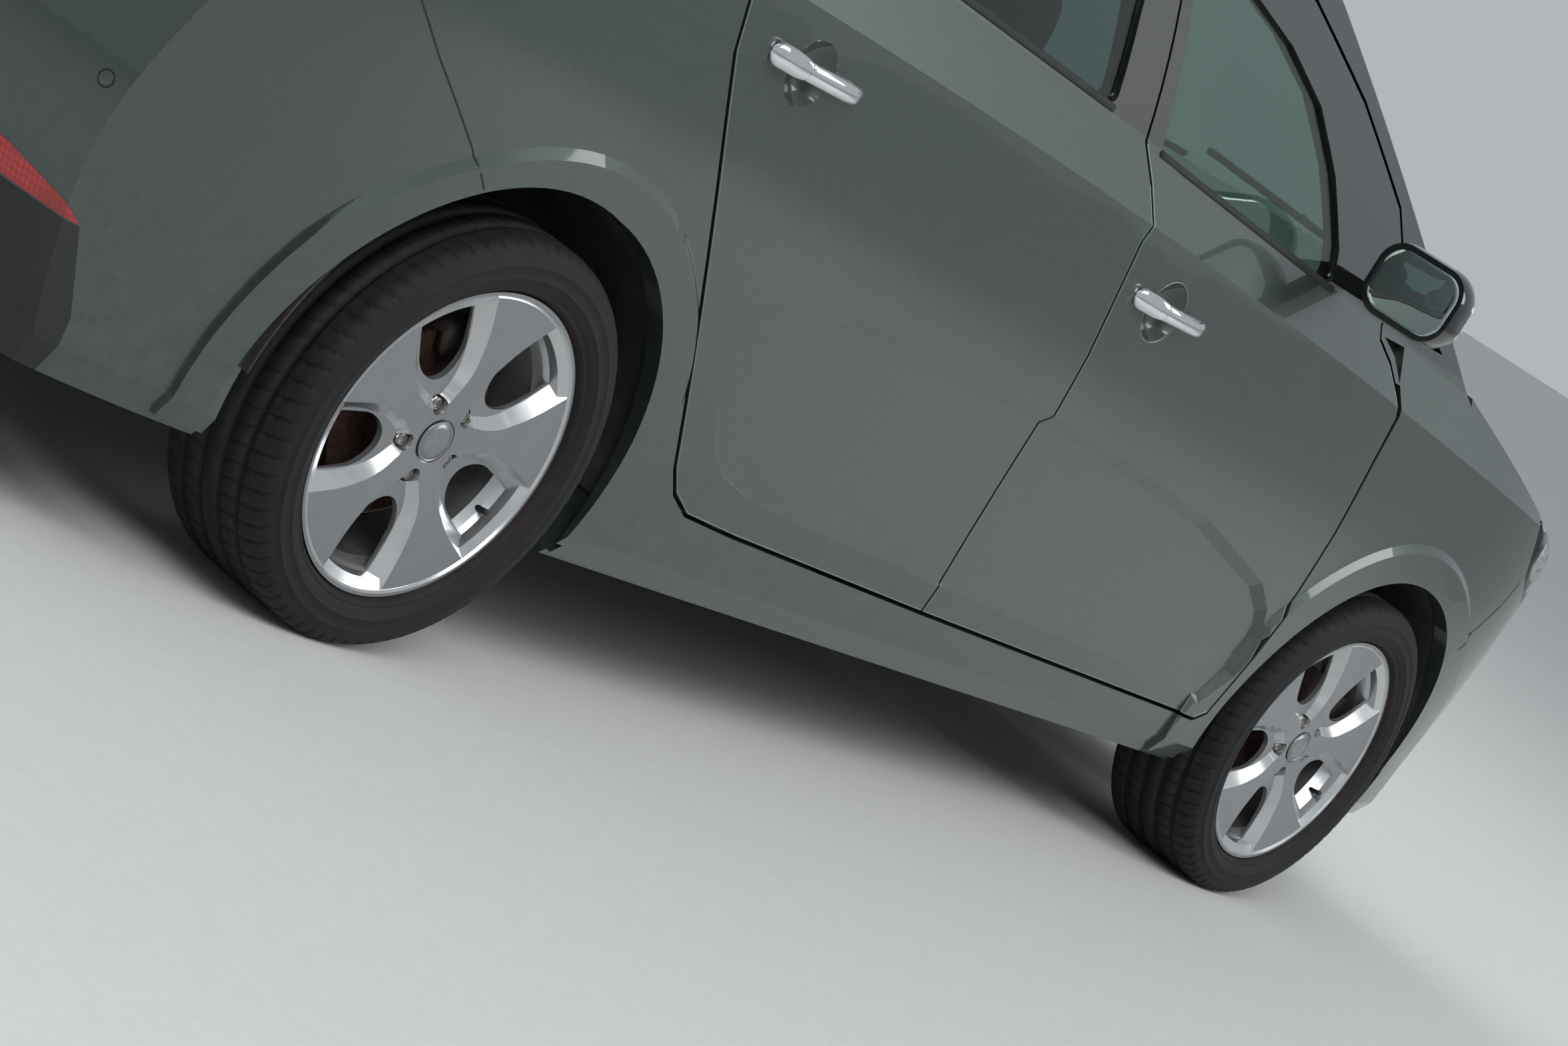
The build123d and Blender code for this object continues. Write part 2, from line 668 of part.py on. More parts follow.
# Windscreen, roof and cowl
screen_zone = plain_body & block((350, -900, 950), (1700, 900, 1620))
with BuildPart() as screen_room:
    add(grown(screen_line, -panel_seam, Plane.YZ.offset(300)))
    extrude(amount=1400, dir=(1, 0, 0))
screen = screen_zone & screen_room.part & behind_screen(windscreen_inset)
screen = screen - behind_screen(windscreen_inset + 6)
write(screen, "windscreen")
roof_edge = roof_half_width - panel_seam
roof_zone = plain_body & block((roof_back, -roof_edge, 1380), (700, roof_edge, 1700))
roof = roof_zone - cabin - front_prism(screen_line, 300, 1700)
write(roof, "roof_panel")
front_plate = deck(cowl_top) - deck(cowl_top + cowl_thickness)
cowl = front_plate & block((1300, -772, 880), (1630, 772, 1060))
wing_seat = deck(wing_thickness + panel_seam) - deck(cowl_top + cowl_thickness)
cowl = cowl + (wing_seat & block((1300, -772, 880), (1440, 772, 1060)))
cowl = cowl - (behind_screen(-panel_seam) & block((1180, -900, 985), (1700, 900, 1100)))
scuttle_zone = block((1180, -roof_edge, 930), (1700, roof_edge, 1040 - panel_seam))
scuttle = (behind_screen() & scuttle_zone) - behind_screen(scuttle_thickness)
cowl = cowl + (scuttle - bonnet_room.part)
with BuildPart() as bonnet_brackets:
    for side in (1, -1):
        for step in (-12, 12):
            with BuildSketch(Plane.XZ.offset(-side * bonnet_hinge_y + step + 4)):
                with BuildLine():
                    Polyline((1448, 960), (1474, 960), (1466, 985), (1450, 985), close=True)
                make_face()
                with Locations(bonnet_hinge):
                    Circle(8)
            extrude(amount=8, dir=(0, 1, 0))
        with BuildSketch(Plane.XZ.offset(-side * bonnet_hinge_y + 16)):
            with Locations(bonnet_hinge):
                Circle(hinge_pin_radius)
        extrude(amount=32, dir=(0, 1, 0))
cowl = cowl + (bonnet_brackets.part - deck(cowl_top + cowl_thickness))
write(cowl, "cowl")

# Steering axes lean inwards from the lower arms to the strut tops
lean = radians(steer_lean)
steer_up = (0, -sin(lean), cos(lean))
steer_foot = Vector(front_axle_x, steer_foot_y, steer_foot_z)


def steer_bar(radius, start, stop):
    """A round bar on the left steering axis, between two distances up from its foot."""
    with BuildPart() as bar:
        with BuildSketch(Plane(origin=steer_foot + Vector(*steer_up) * start, z_dir=steer_up)):
            Circle(radius)
        extrude(amount=stop - start)
    return bar.part


# Floor with firewall and load deck, and the engine bay's front structure
floor_line = ((1180, 262), (-930, 262), (-1010, 380), (-2130, 380), (-2130, 410), (-1000, 410), (-905, 292),
              (1150, 292), (1150, 960), (1180, 960))
with BuildPart() as floor_pan:
    with BuildSketch(Plane.XZ.offset(-(sill_inner_y - panel_seam))):
        with BuildLine():
            Polyline(*floor_line, close=True)
        make_face()
    extrude(amount=2 * (sill_inner_y - panel_seam), dir=(0, -1, 0))
    with Locations((100, 0, 262)):
        Box(2000, 240, 110, align=(Align.CENTER, Align.CENTER, Align.MIN))
    with Locations((100, 0, 250)):
        Box(2040, 160, 90, align=(Align.CENTER, Align.CENTER, Align.MIN), mode=Mode.SUBTRACT)
    for side in (1, -1):
        with BuildSketch(Plane.XZ.offset(-side * 600)):
            with Locations((rear_axle_x, tyre_radius)):
                Circle(liner_radii[1] + panel_seam)
            with Locations((front_axle_x, tyre_radius)):
                Circle(liner_radii[0] + panel_seam)
        extrude(amount=(600 - liner_inner_y + 5), both=True, mode=Mode.SUBTRACT)
    for side in (1, -1):
        with Locations((-2070, side * 640, 395)):
            Box(260, 180, 80, mode=Mode.SUBTRACT)
write(floor_pan.part, "floor_pan")

with BuildPart() as liners:
    for axle_x, liner_radius in ((front_axle_x, liner_radii[0]), (rear_axle_x, liner_radii[1])):
        with BuildSketch(Plane.XZ.offset(-(lip_y - panel_seam))):
            with Locations((axle_x, tyre_radius)):
                Circle(liner_radius)
            with Locations((axle_x, tyre_radius - 500)):
                Rectangle(1000, 1000, mode=Mode.SUBTRACT)
        extrude(amount=lip_y - panel_seam - liner_inner_y, dir=(0, -1, 0))
        with BuildSketch(Plane.XZ.offset(-1000)):
            with Locations((axle_x, tyre_radius)):
                Circle(liner_radius - liner_thickness)
        extrude(amount=1000 - liner_inner_y - liner_thickness, dir=(0, -1, 0), mode=Mode.SUBTRACT)
    with BuildSketch(Plane.XY.offset(640)):
        with Locations(tower_centre):
            Circle(tower_radius)
    extrude(amount=tower_top - 640)
    with BuildSketch(Plane.XY.offset(500)):
        with Locations(tower_centre):
            Circle(tower_radius - liner_thickness)
    extrude(amount=tower_top - 12 - 500, mode=Mode.SUBTRACT)
    add(steer_bar(pivot_radius + running_gap, 600, 800), mode=Mode.SUBTRACT)
write(both_sides(liners.part), "wheel_liners")

# Wheels: each tyre, wheel and disc is turned about its axle, and written where it stands
with BuildPart() as tyre:
    with BuildSketch(Plane.XY):
        with BuildLine():
            half_tread = tyre_width / 2 - 28
            side = tyre_width / 2
            Polyline((240, -97), (238, -86.5), (220, -86.5), (220, 86.5), (238, 86.5), (240, 97))
            ThreePointArc((240, 97), (268, side), (300, side - 6))
            ThreePointArc((300, side - 6), (311, side - 12), (tyre_radius - 1, half_tread))
            Polyline((tyre_radius - 1, half_tread), (tyre_radius, 0), (tyre_radius - 1, -half_tread))
            ThreePointArc((tyre_radius - 1, -half_tread), (311, -side + 12), (300, -side + 6))
            ThreePointArc((300, -side + 6), (268, -side), (240, -97))
        make_face()
    revolve(axis=Axis.Y)

with BuildPart() as rim:
    with BuildSketch(Plane.XY):
        with BuildLine():
            Polyline((0, 50), (75, 50), (95, 62), (213, 68), (213, 86), (228, 92.4), (226, 93.4), (120, 88),
                     (60, 84), (34, 82), (34, 78), (0, 78), close=True)
        make_face()
    revolve(axis=Axis.Y)
    with BuildSketch(Plane.XY) as window_floor:
        with BuildLine():
            ThreePointArc((76, 14), (67, 0), (76, -14))
            ThreePointArc((76, -14), (98, -31), (125, -40))
            ThreePointArc((125, -40), (150, -45), (180, -47))
            Polyline((180, -47), (235, -47), (235, 47), (180, 47))
            ThreePointArc((180, 47), (150, 45), (125, 40))
            ThreePointArc((125, 40), (98, 31), (76, 14))
        make_face()
    with BuildSketch(Plane.XY) as window_hole:
        with BuildLine():
            ThreePointArc((102, 18), (96, 0), (102, -18))
            ThreePointArc((102, -18), (122, -35), (150, -42))
            Polyline((150, -42), (180, -44), (240, -44), (240, 44), (180, 44), (150, 42))
            ThreePointArc((150, 42), (122, 35), (102, 18))
        make_face()
    for turn in window_turns:
        with BuildSketch(Plane.XZ.offset(-window_floor_y)):
            add(Rot(0, 0, turn) * window_floor.sketch)
        extrude(amount=window_bevel_depth, dir=(0, 1, 0), taper=-45, mode=Mode.SUBTRACT)
        with BuildSketch(Plane.XZ.offset(-120)):
            add(Rot(0, 0, turn) * window_hole.sketch)
        extrude(amount=90, dir=(0, -1, 0), mode=Mode.SUBTRACT)
    with BuildSketch(Plane.XZ.offset(-120)):
        for turn in window_turns:
            with Locations(Rot(0, 0, turn) * Pos(lug_circle / 2, 0)):
                Circle(lug_hole_radius)
    extrude(amount=60, dir=(0, -1, 0), mode=Mode.SUBTRACT)
    with BuildSketch(Plane.XY):
        with BuildLine():
            Polyline((219.7, -86.8), (flange_radius, -87), (flange_radius, -96), (214, -96), (210, -70),
                     (198, -40), (198, 50), (205, 64), (210, 72), (213, 86), (228, 92.4), (231, 96),
                     (flange_radius, 96), (flange_radius, 87), (219.7, 86.8), (219.7, 76), (206, 52),
                     (206, -36), (219.7, -62), close=True)
        make_face()
    revolve(axis=Axis.Y)

with BuildPart() as brake_disc:
    with BuildSketch(Plane.XY):
        with BuildLine():
            Polyline((20.05, -20), (70, -20), (70, 2), (disc_radius, 2), (disc_radius, 24), (76, 24),
                     (76, 50),
                     (20.05, 50), close=True)
        make_face()
    revolve(axis=Axis.Y)

corners = (("front_left", front_axle_x, 1), ("front_right", front_axle_x, -1),
           ("rear_left", rear_axle_x, 1), ("rear_right", rear_axle_x, -1))
for corner, axle_x, side in corners:
    for shape, suffix in ((tyre.part, "tyre"), (rim.part, "wheel"), (brake_disc.part, "brake_disc")):
        placed = Pos(axle_x, side * wheel_y, tyre_radius) * (Rot(0, 0, 90 - side * 90) * shape)
        write(placed, corner + "_" + suffix)

strut_foot = Vector(front_axle_x, 630, 430)
strut_top = steer_foot + Vector(*steer_up) * 640
strut_plane = Plane(origin=strut_foot, z_dir=strut_top - strut_foot)
strut_length = (strut_top - strut_foot).length
with BuildPart() as knuckle:
    add(cross_bar((front_axle_x, tyre_radius), 45, 700, 762))
    add(cross_bar((front_axle_x, tyre_radius), spindle_radius, 760, 832))
    add(side_prism(((front_axle_x - 30, 215), (front_axle_x + 30, 215), (front_axle_x + 34, 470),
                    (front_axle_x - 34, 470)), 694, 738))
    add(block((front_axle_x - 30, 606, 400), (front_axle_x + 30, 738, 460)))
    with BuildSketch(strut_plane):
        Circle(24)
    extrude(amount=strut_length)
    with BuildSketch(strut_plane.offset(230)):
        Circle(62)
    extrude(amount=120)
    add(block((front_axle_x + 20, 712, tyre_radius + 10), (front_axle_x + 160, 738, tyre_radius + 70)))
    add(block((front_axle_x + 100, 730, tyre_radius + 10), (front_axle_x + 160, 780, tyre_radius + 70)))
    add(block((front_axle_x + 96, wheel_y - 16, tyre_radius - 30),
              (front_axle_x + 160, wheel_y + 44, tyre_radius + 110)))
    add(cross_bar((front_axle_x, tyre_radius), disc_radius + 5, wheel_y - 1, wheel_y + 27),
        mode=Mode.SUBTRACT)
    add(cross_bar((front_axle_x, tyre_radius), spindle_radius, 760, 832))
    add(steer_bar(pivot_radius + running_gap, -20, 90), mode=Mode.SUBTRACT)
    add(steer_bar(pivot_radius, 630, 672))
left_knuckle = knuckle.part
write(left_knuckle, "left_knuckle")
write(mirror(left_knuckle, about=Plane.XZ), "right_knuckle")

# Front subframe with its arms and lower pivots
with BuildPart() as arm:
    with BuildSketch(Plane.XY.offset(176)):
        with BuildLine():
            Polyline((front_axle_x - 20, 760), (front_axle_x + 20, 760), (front_axle_x + 26, 415),
                     (front_axle_x - 220, 415), (front_axle_x - 60, 540), close=True)
        make_face()
    extrude(amount=26)
    add(steer_bar(pivot_radius, -6, 80))
with BuildPart() as subframe:
    with Locations((front_axle_x - 80, 0, 200)):
        Box(460, 840, 60)
    with Locations((front_axle_x - 250, 0, 246)):
        Box(80, 700, 31.4)
    for side in (1, -1):
        add(upright_bar((front_axle_x + 110, side * 300), 40, 225, 279.7))
write(both_sides(arm.part) + subframe.part, "front_suspension")

# Rear axle
with BuildPart() as rear_axle:
    with Locations((rear_axle_x + 150, 0, 262)):
        Box(110, 1180, 90)
    for side in (1, -1):
        with Locations((rear_axle_x + 60, side * 600, 273)):
            Box(290, 60, 74)
        with Locations((rear_axle_x + 233, side * 440, 273)):
            Box(275, 60, 74)
        with Locations((rear_axle_x + 345, side * 440, 344.8)):
            Box(50, 50, 69.8)
        with Locations((rear_axle_x, side * 690, tyre_radius)):
            Box(110, 140, 120)
        with BuildSketch(Plane.XZ.offset(-side * 760)):
            with Locations((rear_axle_x, tyre_radius)):
                Circle(spindle_radius)
        extrude(amount=72, dir=(0, side, 0))
write(rear_axle.part, "rear_axle")

# Engine with its gearbox, as one block
with BuildPart() as engine:
    with Locations((1640, 0, 520)):
        Box(520, 860, 480)
    fillet(engine.edges().filter_by(Axis.Z), 60)
write(engine.part, "engine")

# Dashboard, steering wheel and seats
column = (-cos(radians(wheel_tilt)), 0, sin(radians(wheel_tilt)))
with BuildPart() as dashboard:
    with BuildSketch(Plane.XZ.offset(-700)):
        with BuildLine():
            Polyline((1149.7, 720), (900, 690), (760, 720), (720, 780), (730, 900), (800, 985),
                     (1149.7, 990),
                     close=True)
        make_face()
    extrude(amount=1400, dir=(0, -1, 0))
    with BuildSketch(Plane(origin=wheel_centre, x_dir=(0, 1, 0), z_dir=column).offset(-240)):
        Circle(30)
    extrude(amount=222)
    with BuildSketch(Plane(origin=wheel_centre, x_dir=(0, 1, 0), z_dir=column).offset(-40)):
        Circle(10)
    extrude(amount=45)
write(dashboard.part, "dashboard")
with BuildPart() as steering_wheel:
    with BuildSketch(Plane(origin=wheel_centre, x_dir=(0, 1, 0), z_dir=column)):
        Circle(188)
        Circle(160, mode=Mode.SUBTRACT)
        Rectangle(330, 46)
        Circle(70)
    extrude(amount=14, both=True)
    with BuildSketch(Plane(origin=wheel_centre, x_dir=(0, 1, 0), z_dir=column).offset(-20)):
        Circle(10 + running_gap)
    extrude(amount=30, mode=Mode.SUBTRACT)
write(steering_wheel.part, "steering_wheel")

with BuildPart() as seat:
    with BuildSketch(Plane.XZ.offset(-650)):
        with BuildLine():
            Polyline((0, 420), (480, 440), (520, 560), (40, 540), (-120, 1120), (-200, 1100), close=True)
        make_face()
    extrude(amount=520, dir=(0, -1, 0))
    with Locations((200, 390, 361.15)):
        Box(380, 460, 137.7)
    with Locations((-165, 390, 1185)):
        Box(90, 260, 150)
write(both_sides(Pos(60, 0, 0) * seat.part), "front_seats")
with BuildPart() as bench:
    with BuildSketch(Plane.XZ.offset(-640)):
        with BuildLine():
            Polyline((-900, 415), (-420, 420), (-390, 560), (-850, 545), (-1000, 1130),
                     (-1080, 1110), close=True)
        make_face()
    extrude(amount=1280, dir=(0, -1, 0))
    for low_y, high_y in ((-560, -126), (126, 560)):
        add(block((-860, low_y, 292.3), (-450, high_y, 430)))
write(bench.part, "rear_seats")

# Door mirrors and handles
left_skin = skin(whole=False)
mirror_sections = (
    # x, middle y, middle z, width, height, corner
    (490, 1012, 1156, 176, 132, 46),
    (536, 1008, 1156, 184, 138, 52),
    (584, 1000, 1152, 160, 112, 48),
    (616, 990, 1146, 96, 60, 28),
)
with BuildPart() as door_mirror:
    for x, y, z, wide, tall, corner in mirror_sections:
        with BuildSketch(Plane.YZ.offset(x)):
            with Locations((y, z)):
                RectangleRounded(wide, tall, corner)
    loft()
    with BuildSketch(Plane.YZ.offset(490)):
        with Locations((1012, 1156)):
            RectangleRounded(160, 116, 40)
    extrude(amount=6, dir=(1, 0, 0), mode=Mode.SUBTRACT)
    with Locations((578, 880, 1112)):
        Box(64, 150, 30)
left_mirror = door_mirror.part - left_skin
write(left_mirror, "left_mirror")
write(mirror(left_mirror, about=Plane.XZ), "right_mirror")
for name, (x, z) in handle_places.items():
    with BuildPart() as handle:
        with BuildSketch(Plane.XY.offset(z - 13)):
            with BuildLine():
                arc_out = ThreePointArc((x + 112, 880), (x, 938), (x - 112, 880))
                arc_in = ThreePointArc((x - 84, 880), (x, 914), (x + 84, 880))
                Line(arc_out @ 1, arc_in @ 0)
                Line(arc_in @ 1, arc_out @ 0)
            make_face()
        extrude(amount=26)
    grip_line = ((800, z - 13), (884, z - 13), (930, z - 8), (941, z), (930, z + 8), (884, z + 13),
                 (800, z + 13))
    grip = handle.part & front_prism(grip_line, x - 120, x + 120)
    left_handle = grip - left_skin
    write(left_handle, name + "_left_handle")
    write(mirror(left_handle, about=Plane.XZ), name + "_right_handle")

# Hinges on the body
door_hinges = (hinge_arms(front_hinge) + hinge_arms(rear_hinge)) - side_frame
write(both_sides(door_hinges), "door_hinges")
write(tailgate_arms(), "tailgate_hinges")
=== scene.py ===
import math

import bmesh
import bpy
from mathutils import Matrix, Vector
from mathutils.bvhtree import BVHTree


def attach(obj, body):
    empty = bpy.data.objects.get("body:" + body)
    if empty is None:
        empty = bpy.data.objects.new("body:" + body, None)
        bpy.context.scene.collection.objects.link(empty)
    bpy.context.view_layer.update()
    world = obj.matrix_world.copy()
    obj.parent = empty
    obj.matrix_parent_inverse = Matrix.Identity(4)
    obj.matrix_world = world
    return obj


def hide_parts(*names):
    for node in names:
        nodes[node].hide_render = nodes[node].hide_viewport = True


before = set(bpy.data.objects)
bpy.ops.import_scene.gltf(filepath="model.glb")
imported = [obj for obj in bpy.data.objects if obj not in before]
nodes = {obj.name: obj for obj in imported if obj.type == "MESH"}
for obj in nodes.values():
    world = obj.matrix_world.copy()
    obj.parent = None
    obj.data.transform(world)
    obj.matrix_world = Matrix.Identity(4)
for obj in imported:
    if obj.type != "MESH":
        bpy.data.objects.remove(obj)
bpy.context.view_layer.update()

# Places shared with the CAD source, in metres; angles are in degrees
FRONT_AXLE_X = 1.3625
REAR_AXLE_X = -1.3875
WHEEL_Y = 0.788
TYRE_RADIUS = 0.317
LUG_RADIUS = 0.05715
LUG_TURNS = (57.5, 129.5, 201.5, 273.5, 345.5)
FORWARD, ACROSS, UP = Vector((1, 0, 0)), Vector((0, 1, 0)), Vector((0, 0, 1))
SIDES = (("left", 1), ("right", -1))


# Node helpers
def set_socket(tree, socket, value):
    """Links a node's output to a socket, or gives the socket a number or a colour."""
    if hasattr(value, "links"):
        tree.links.new(value, socket)
    else:
        socket.default_value = (*value, 1) if socket.type == "RGBA" else value


def material(name, **settings):
    """A new material with constants on its shader: the material, tree, shader and coordinates."""
    look = bpy.data.materials.new(name)
    look.use_nodes = True
    tree = look.node_tree
    shader = tree.nodes["Principled BSDF"]
    for key, value in settings.items():
        shader.inputs[key.replace("_", " ")].default_value = value
    return look, tree, shader, tree.nodes.new("ShaderNodeTexCoord").outputs["Object"]


def connect(tree, shader, **outputs):
    """Links node outputs to the shader's sockets."""
    for key, output in outputs.items():
        tree.links.new(output, shader.inputs[key.replace("_", " ")])


def add(tree, kind, **inputs):
    """A new node with its sockets linked or set."""
    node = tree.nodes.new(kind)
    for key, value in inputs.items():
        set_socket(tree, node.inputs[key.replace("_", " ")], value)
    return node


def noise(tree, vector, scale, detail=4.0, rough=0.55):
    node = add(tree, "ShaderNodeTexNoise", Vector=vector, Scale=scale, Detail=detail,
               Roughness=rough)
    return node.outputs["Fac"]


def ramp(tree, fac, *stops):
    """A colour for each value of fac, from stops of (place, colour)."""
    node = add(tree, "ShaderNodeValToRGB", Fac=fac)
    elements = node.color_ramp.elements
    while len(elements) < len(stops):
        elements.new(0.5)
    for element, (place, colour) in zip(elements, stops):
        element.position = place
        element.color = (*colour, 1)
    return node.outputs["Color"]


def mixed(tree, fac, a, b, blend="MIX"):
    node = tree.nodes.new("ShaderNodeMix")
    node.data_type = "RGBA"
    node.blend_type = blend
    for name, value in (("Factor", fac), ("A", a), ("B", b)):
        set_socket(tree, node.inputs[name], value)
    return node.outputs["Result"]


def calc(tree, operation, a, b=0.0, clamp=False):
    node = tree.nodes.new("ShaderNodeMath")
    node.operation = operation
    node.use_clamp = clamp
    for socket, value in zip(node.inputs, (a, b)):
        set_socket(tree, socket, value)
    return node.outputs[0]


def times(tree, a, b, clamp=False):
    return calc(tree, "MULTIPLY", a, b, clamp)


def plus(tree, a, b, clamp=False):
    return calc(tree, "ADD", a, b, clamp)


def minus(tree, a, b):
    return calc(tree, "SUBTRACT", a, b)


def fade(tree, value, low, high):
    """0 where a value is at low or beyond, 1 at high or beyond."""
    node = add(tree, "ShaderNodeMapRange", Value=value, From_Min=low, From_Max=high)
    return node.outputs["Result"]


def xyz(tree, vector):
    node = add(tree, "ShaderNodeSeparateXYZ", Vector=vector)
    return node.outputs["X"], node.outputs["Y"], node.outputs["Z"]


def facing_y(tree):
    """How far the surface faces the car's left."""
    return xyz(tree, tree.nodes.new("ShaderNodeTexCoord").outputs["Normal"])[1]


def bump(tree, shader, height, strength, distance):
    node = add(tree, "ShaderNodeBump", Strength=strength, Distance=distance, Height=height)
    connect(tree, shader, Normal=node.outputs["Normal"])


# Materials
PAINT_FLAKES = ((0.0, (0.036, 0.050, 0.047)), (0.55, (0.051, 0.069, 0.063)),
                (1.0, (0.105, 0.132, 0.118)))
PAINT_METALLIC = 0.62
ROAD_DUST = (0.20, 0.19, 0.165)
FRAME_BLACK = (0.006, 0.006, 0.007)
INNER_TRIM = (0.030, 0.030, 0.032)


def paint_material(name, framed, tone=1.0):
    """Metallic grey-green paint with a fine flake, and road dust low down. Framed paint is black
    round the side windows, and dark trim where it faces inwards."""
    m, t, s, c = material(name, Metallic=PAINT_METALLIC, Roughness=0.34, Coat_Weight=1.0,
                          Coat_Roughness=0.03)
    x, y, z = xyz(t, c)
    flake = add(t, "ShaderNodeTexVoronoi", Scale=2600.0, Vector=c).outputs["Color"]
    # A tone above 1 lightens the paint's colour; on the edge beads this is a painted highlight
    base = ramp(t, flake, *((place, tuple(v * tone for v in colour))
                            for place, colour in PAINT_FLAKES))
    shade = ramp(t, noise(t, c, 1.6, 2.0), (0.3, (0.93, 0.95, 0.96)), (0.7, (1.0, 1.0, 0.98)))
    base = mixed(t, 1.0, base, shade, "MULTIPLY")
    dusty = times(t, fade(t, z, 0.60, 0.22), fade(t, noise(t, c, 34.0, 6.0), 0.35, 0.8), True)
    base = mixed(t, times(t, dusty, 0.26), base, ROAD_DUST)
    rough = plus(t, times(t, dusty, 0.22), 0.33)
    if framed:
        belt = minus(t, minus(t, 1.128, times(t, x, 0.066)), times(t, times(t, x, x), 0.006))
        above_belt = fade(t, minus(t, z, belt), 0.006, 0.008)
        beside = fade(t, calc(t, "ABSOLUTE", y), 0.60, 0.602)
        mask = times(t, times(t, above_belt, beside), fade(t, x, -1.98, -1.96))
        base = mixed(t, mask, base, FRAME_BLACK)
        inward = fade(t, times(t, facing_y(t), calc(t, "SIGN", y)), -0.30, -0.35)
        base = mixed(t, inward, base, INNER_TRIM)
        outer = minus(t, 1.0, inward)
        painted = times(t, minus(t, 1.0, mask), outer)
        connect(t, s, Metallic=times(t, painted, PAINT_METALLIC), Coat_Weight=outer)
        rough = plus(t, rough, times(t, inward, 0.3))
    connect(t, s, Base_Color=base, Roughness=rough)
    bump(t, s, noise(t, c, 900.0, 2.0), 0.02, 0.0002)
    return m


def plain(name, dark, light, scale, grain, strength=0.2, depth=0.0004, **settings):
    """A material whose colour wanders between two tones, with a fine surface grain."""
    m, t, s, c = material(name, **settings)
    connect(t, s, Base_Color=ramp(t, noise(t, c, scale, 6.0, 0.6), (0.3, dark), (0.7, light)))
    bump(t, s, noise(t, c, grain, 3.0), strength, depth)
    return m


def rust_material():
    """A brake disc, brown with patches worn grey."""
    m, t, s, c = material("rusty_disc", Roughness=0.7, Metallic=0.55)
    connect(t, s, Base_Color=ramp(t, noise(t, c, 70, 7.0, 0.65), (0.3, (0.026, 0.014, 0.011)),
                                  (0.62, (0.070, 0.036, 0.027)), (0.8, (0.15, 0.12, 0.105))))
    bump(t, s, noise(t, c, 420, 4.0), 0.5, 0.0006)
    return m


def glass_material(name, colour):
    """Glass in one tint, very slightly wavy."""
    m, t, s, c = material(name, Roughness=0.0, IOR=1.5, Transmission_Weight=1.0)
    lighter = tuple(v * 1.04 for v in colour)
    connect(t, s, Base_Color=ramp(t, noise(t, c, 3.0, 2.0), (0.3, colour), (0.7, lighter)))
    bump(t, s, noise(t, c, 2.2, 1.0), 0.02, 0.001)
    return m


def alloy_material():
    """Silver-lacquered alloy with a fine flake and some brake dust. The flat face is painted a
    darker grey as painted shade and the scoops a bright silver as a painted highlight, by which way
    they face."""
    m, t, s, c = material("silver_alloy", Metallic=0.85, Roughness=0.30, Coat_Weight=0.7,
                          Coat_Roughness=0.12)
    flake = add(t, "ShaderNodeTexVoronoi", Scale=3000.0, Vector=c).outputs["Color"]
    face = fade(t, calc(t, "ABSOLUTE", facing_y(t)), 0.955, 0.985)
    # Two tones of one lacquer, picked by facing: painted shade on the flat face, a painted
    # highlight in the scoops
    spoke_shade = ramp(t, flake, (0.0, (0.21, 0.22, 0.235)), (1.0, (0.30, 0.31, 0.325)))
    scoop_highlight = ramp(t, flake, (0.0, (0.50, 0.51, 0.52)), (1.0, (0.66, 0.67, 0.68)))
    dust = fade(t, noise(t, c, 26.0, 6.0), 0.52, 0.85)
    base = mixed(t, times(t, dust, 0.30), mixed(t, face, scoop_highlight, spoke_shade), (0.20, 0.16, 0.14))
    connect(t, s, Base_Color=base, Roughness=plus(t, times(t, face, 0.14), 0.24))
    bump(t, s, noise(t, c, 700.0, 2.0), 0.05, 0.0003)
    return m


def tyre_material():
    """Dark rubber, greyer where it meets the road and brown with brake dust beside the rim."""
    m, t, s, c = material("tyre_rubber", Roughness=0.72, Specular_IOR_Level=0.35)
    x, _, z = xyz(t, c)
    axle = times(t, fade(t, x, -0.001, 0.001), FRONT_AXLE_X - REAR_AXLE_X)
    dx = minus(t, x, plus(t, axle, REAR_AXLE_X))
    dz = minus(t, z, TYRE_RADIUS)
    radius = calc(t, "SQRT", plus(t, times(t, dx, dx), times(t, dz, dz)))
    base = ramp(t, noise(t, c, 30.0, 6.0), (0.3, (0.0045, 0.005, 0.006)),
                (0.75, (0.0085, 0.009, 0.0105)))
    rusty = times(t, fade(t, radius, 0.262, 0.236), fade(t, noise(t, c, 14.0, 5.0), 0.35, 0.75))
    base = mixed(t, times(t, rusty, 0.65), base, (0.034, 0.016, 0.012))
    worn = times(t, fade(t, radius, 0.309, 0.316), fade(t, noise(t, c, 60.0, 5.0), 0.3, 0.8))
    base = mixed(t, times(t, worn, 0.5), base, (0.030, 0.030, 0.030))
    connect(t, s, Base_Color=base)
    bump(t, s, noise(t, c, 1200.0, 3.0), 0.25, 0.0003)
    return m


def fabric_material():
    """Dark woven seat cloth."""
    m, t, s, c = material("woven_seat_cloth", Roughness=0.9, Sheen_Weight=0.35)
    weave = add(t, "ShaderNodeTexWave", Scale=330.0, Distortion=0.4, Vector=c).outputs["Fac"]
    connect(t, s, Base_Color=mixed(t, weave, (0.018, 0.018, 0.020), (0.040, 0.040, 0.043)))
    bump(t, s, weave, 0.5, 0.0006)
    return m


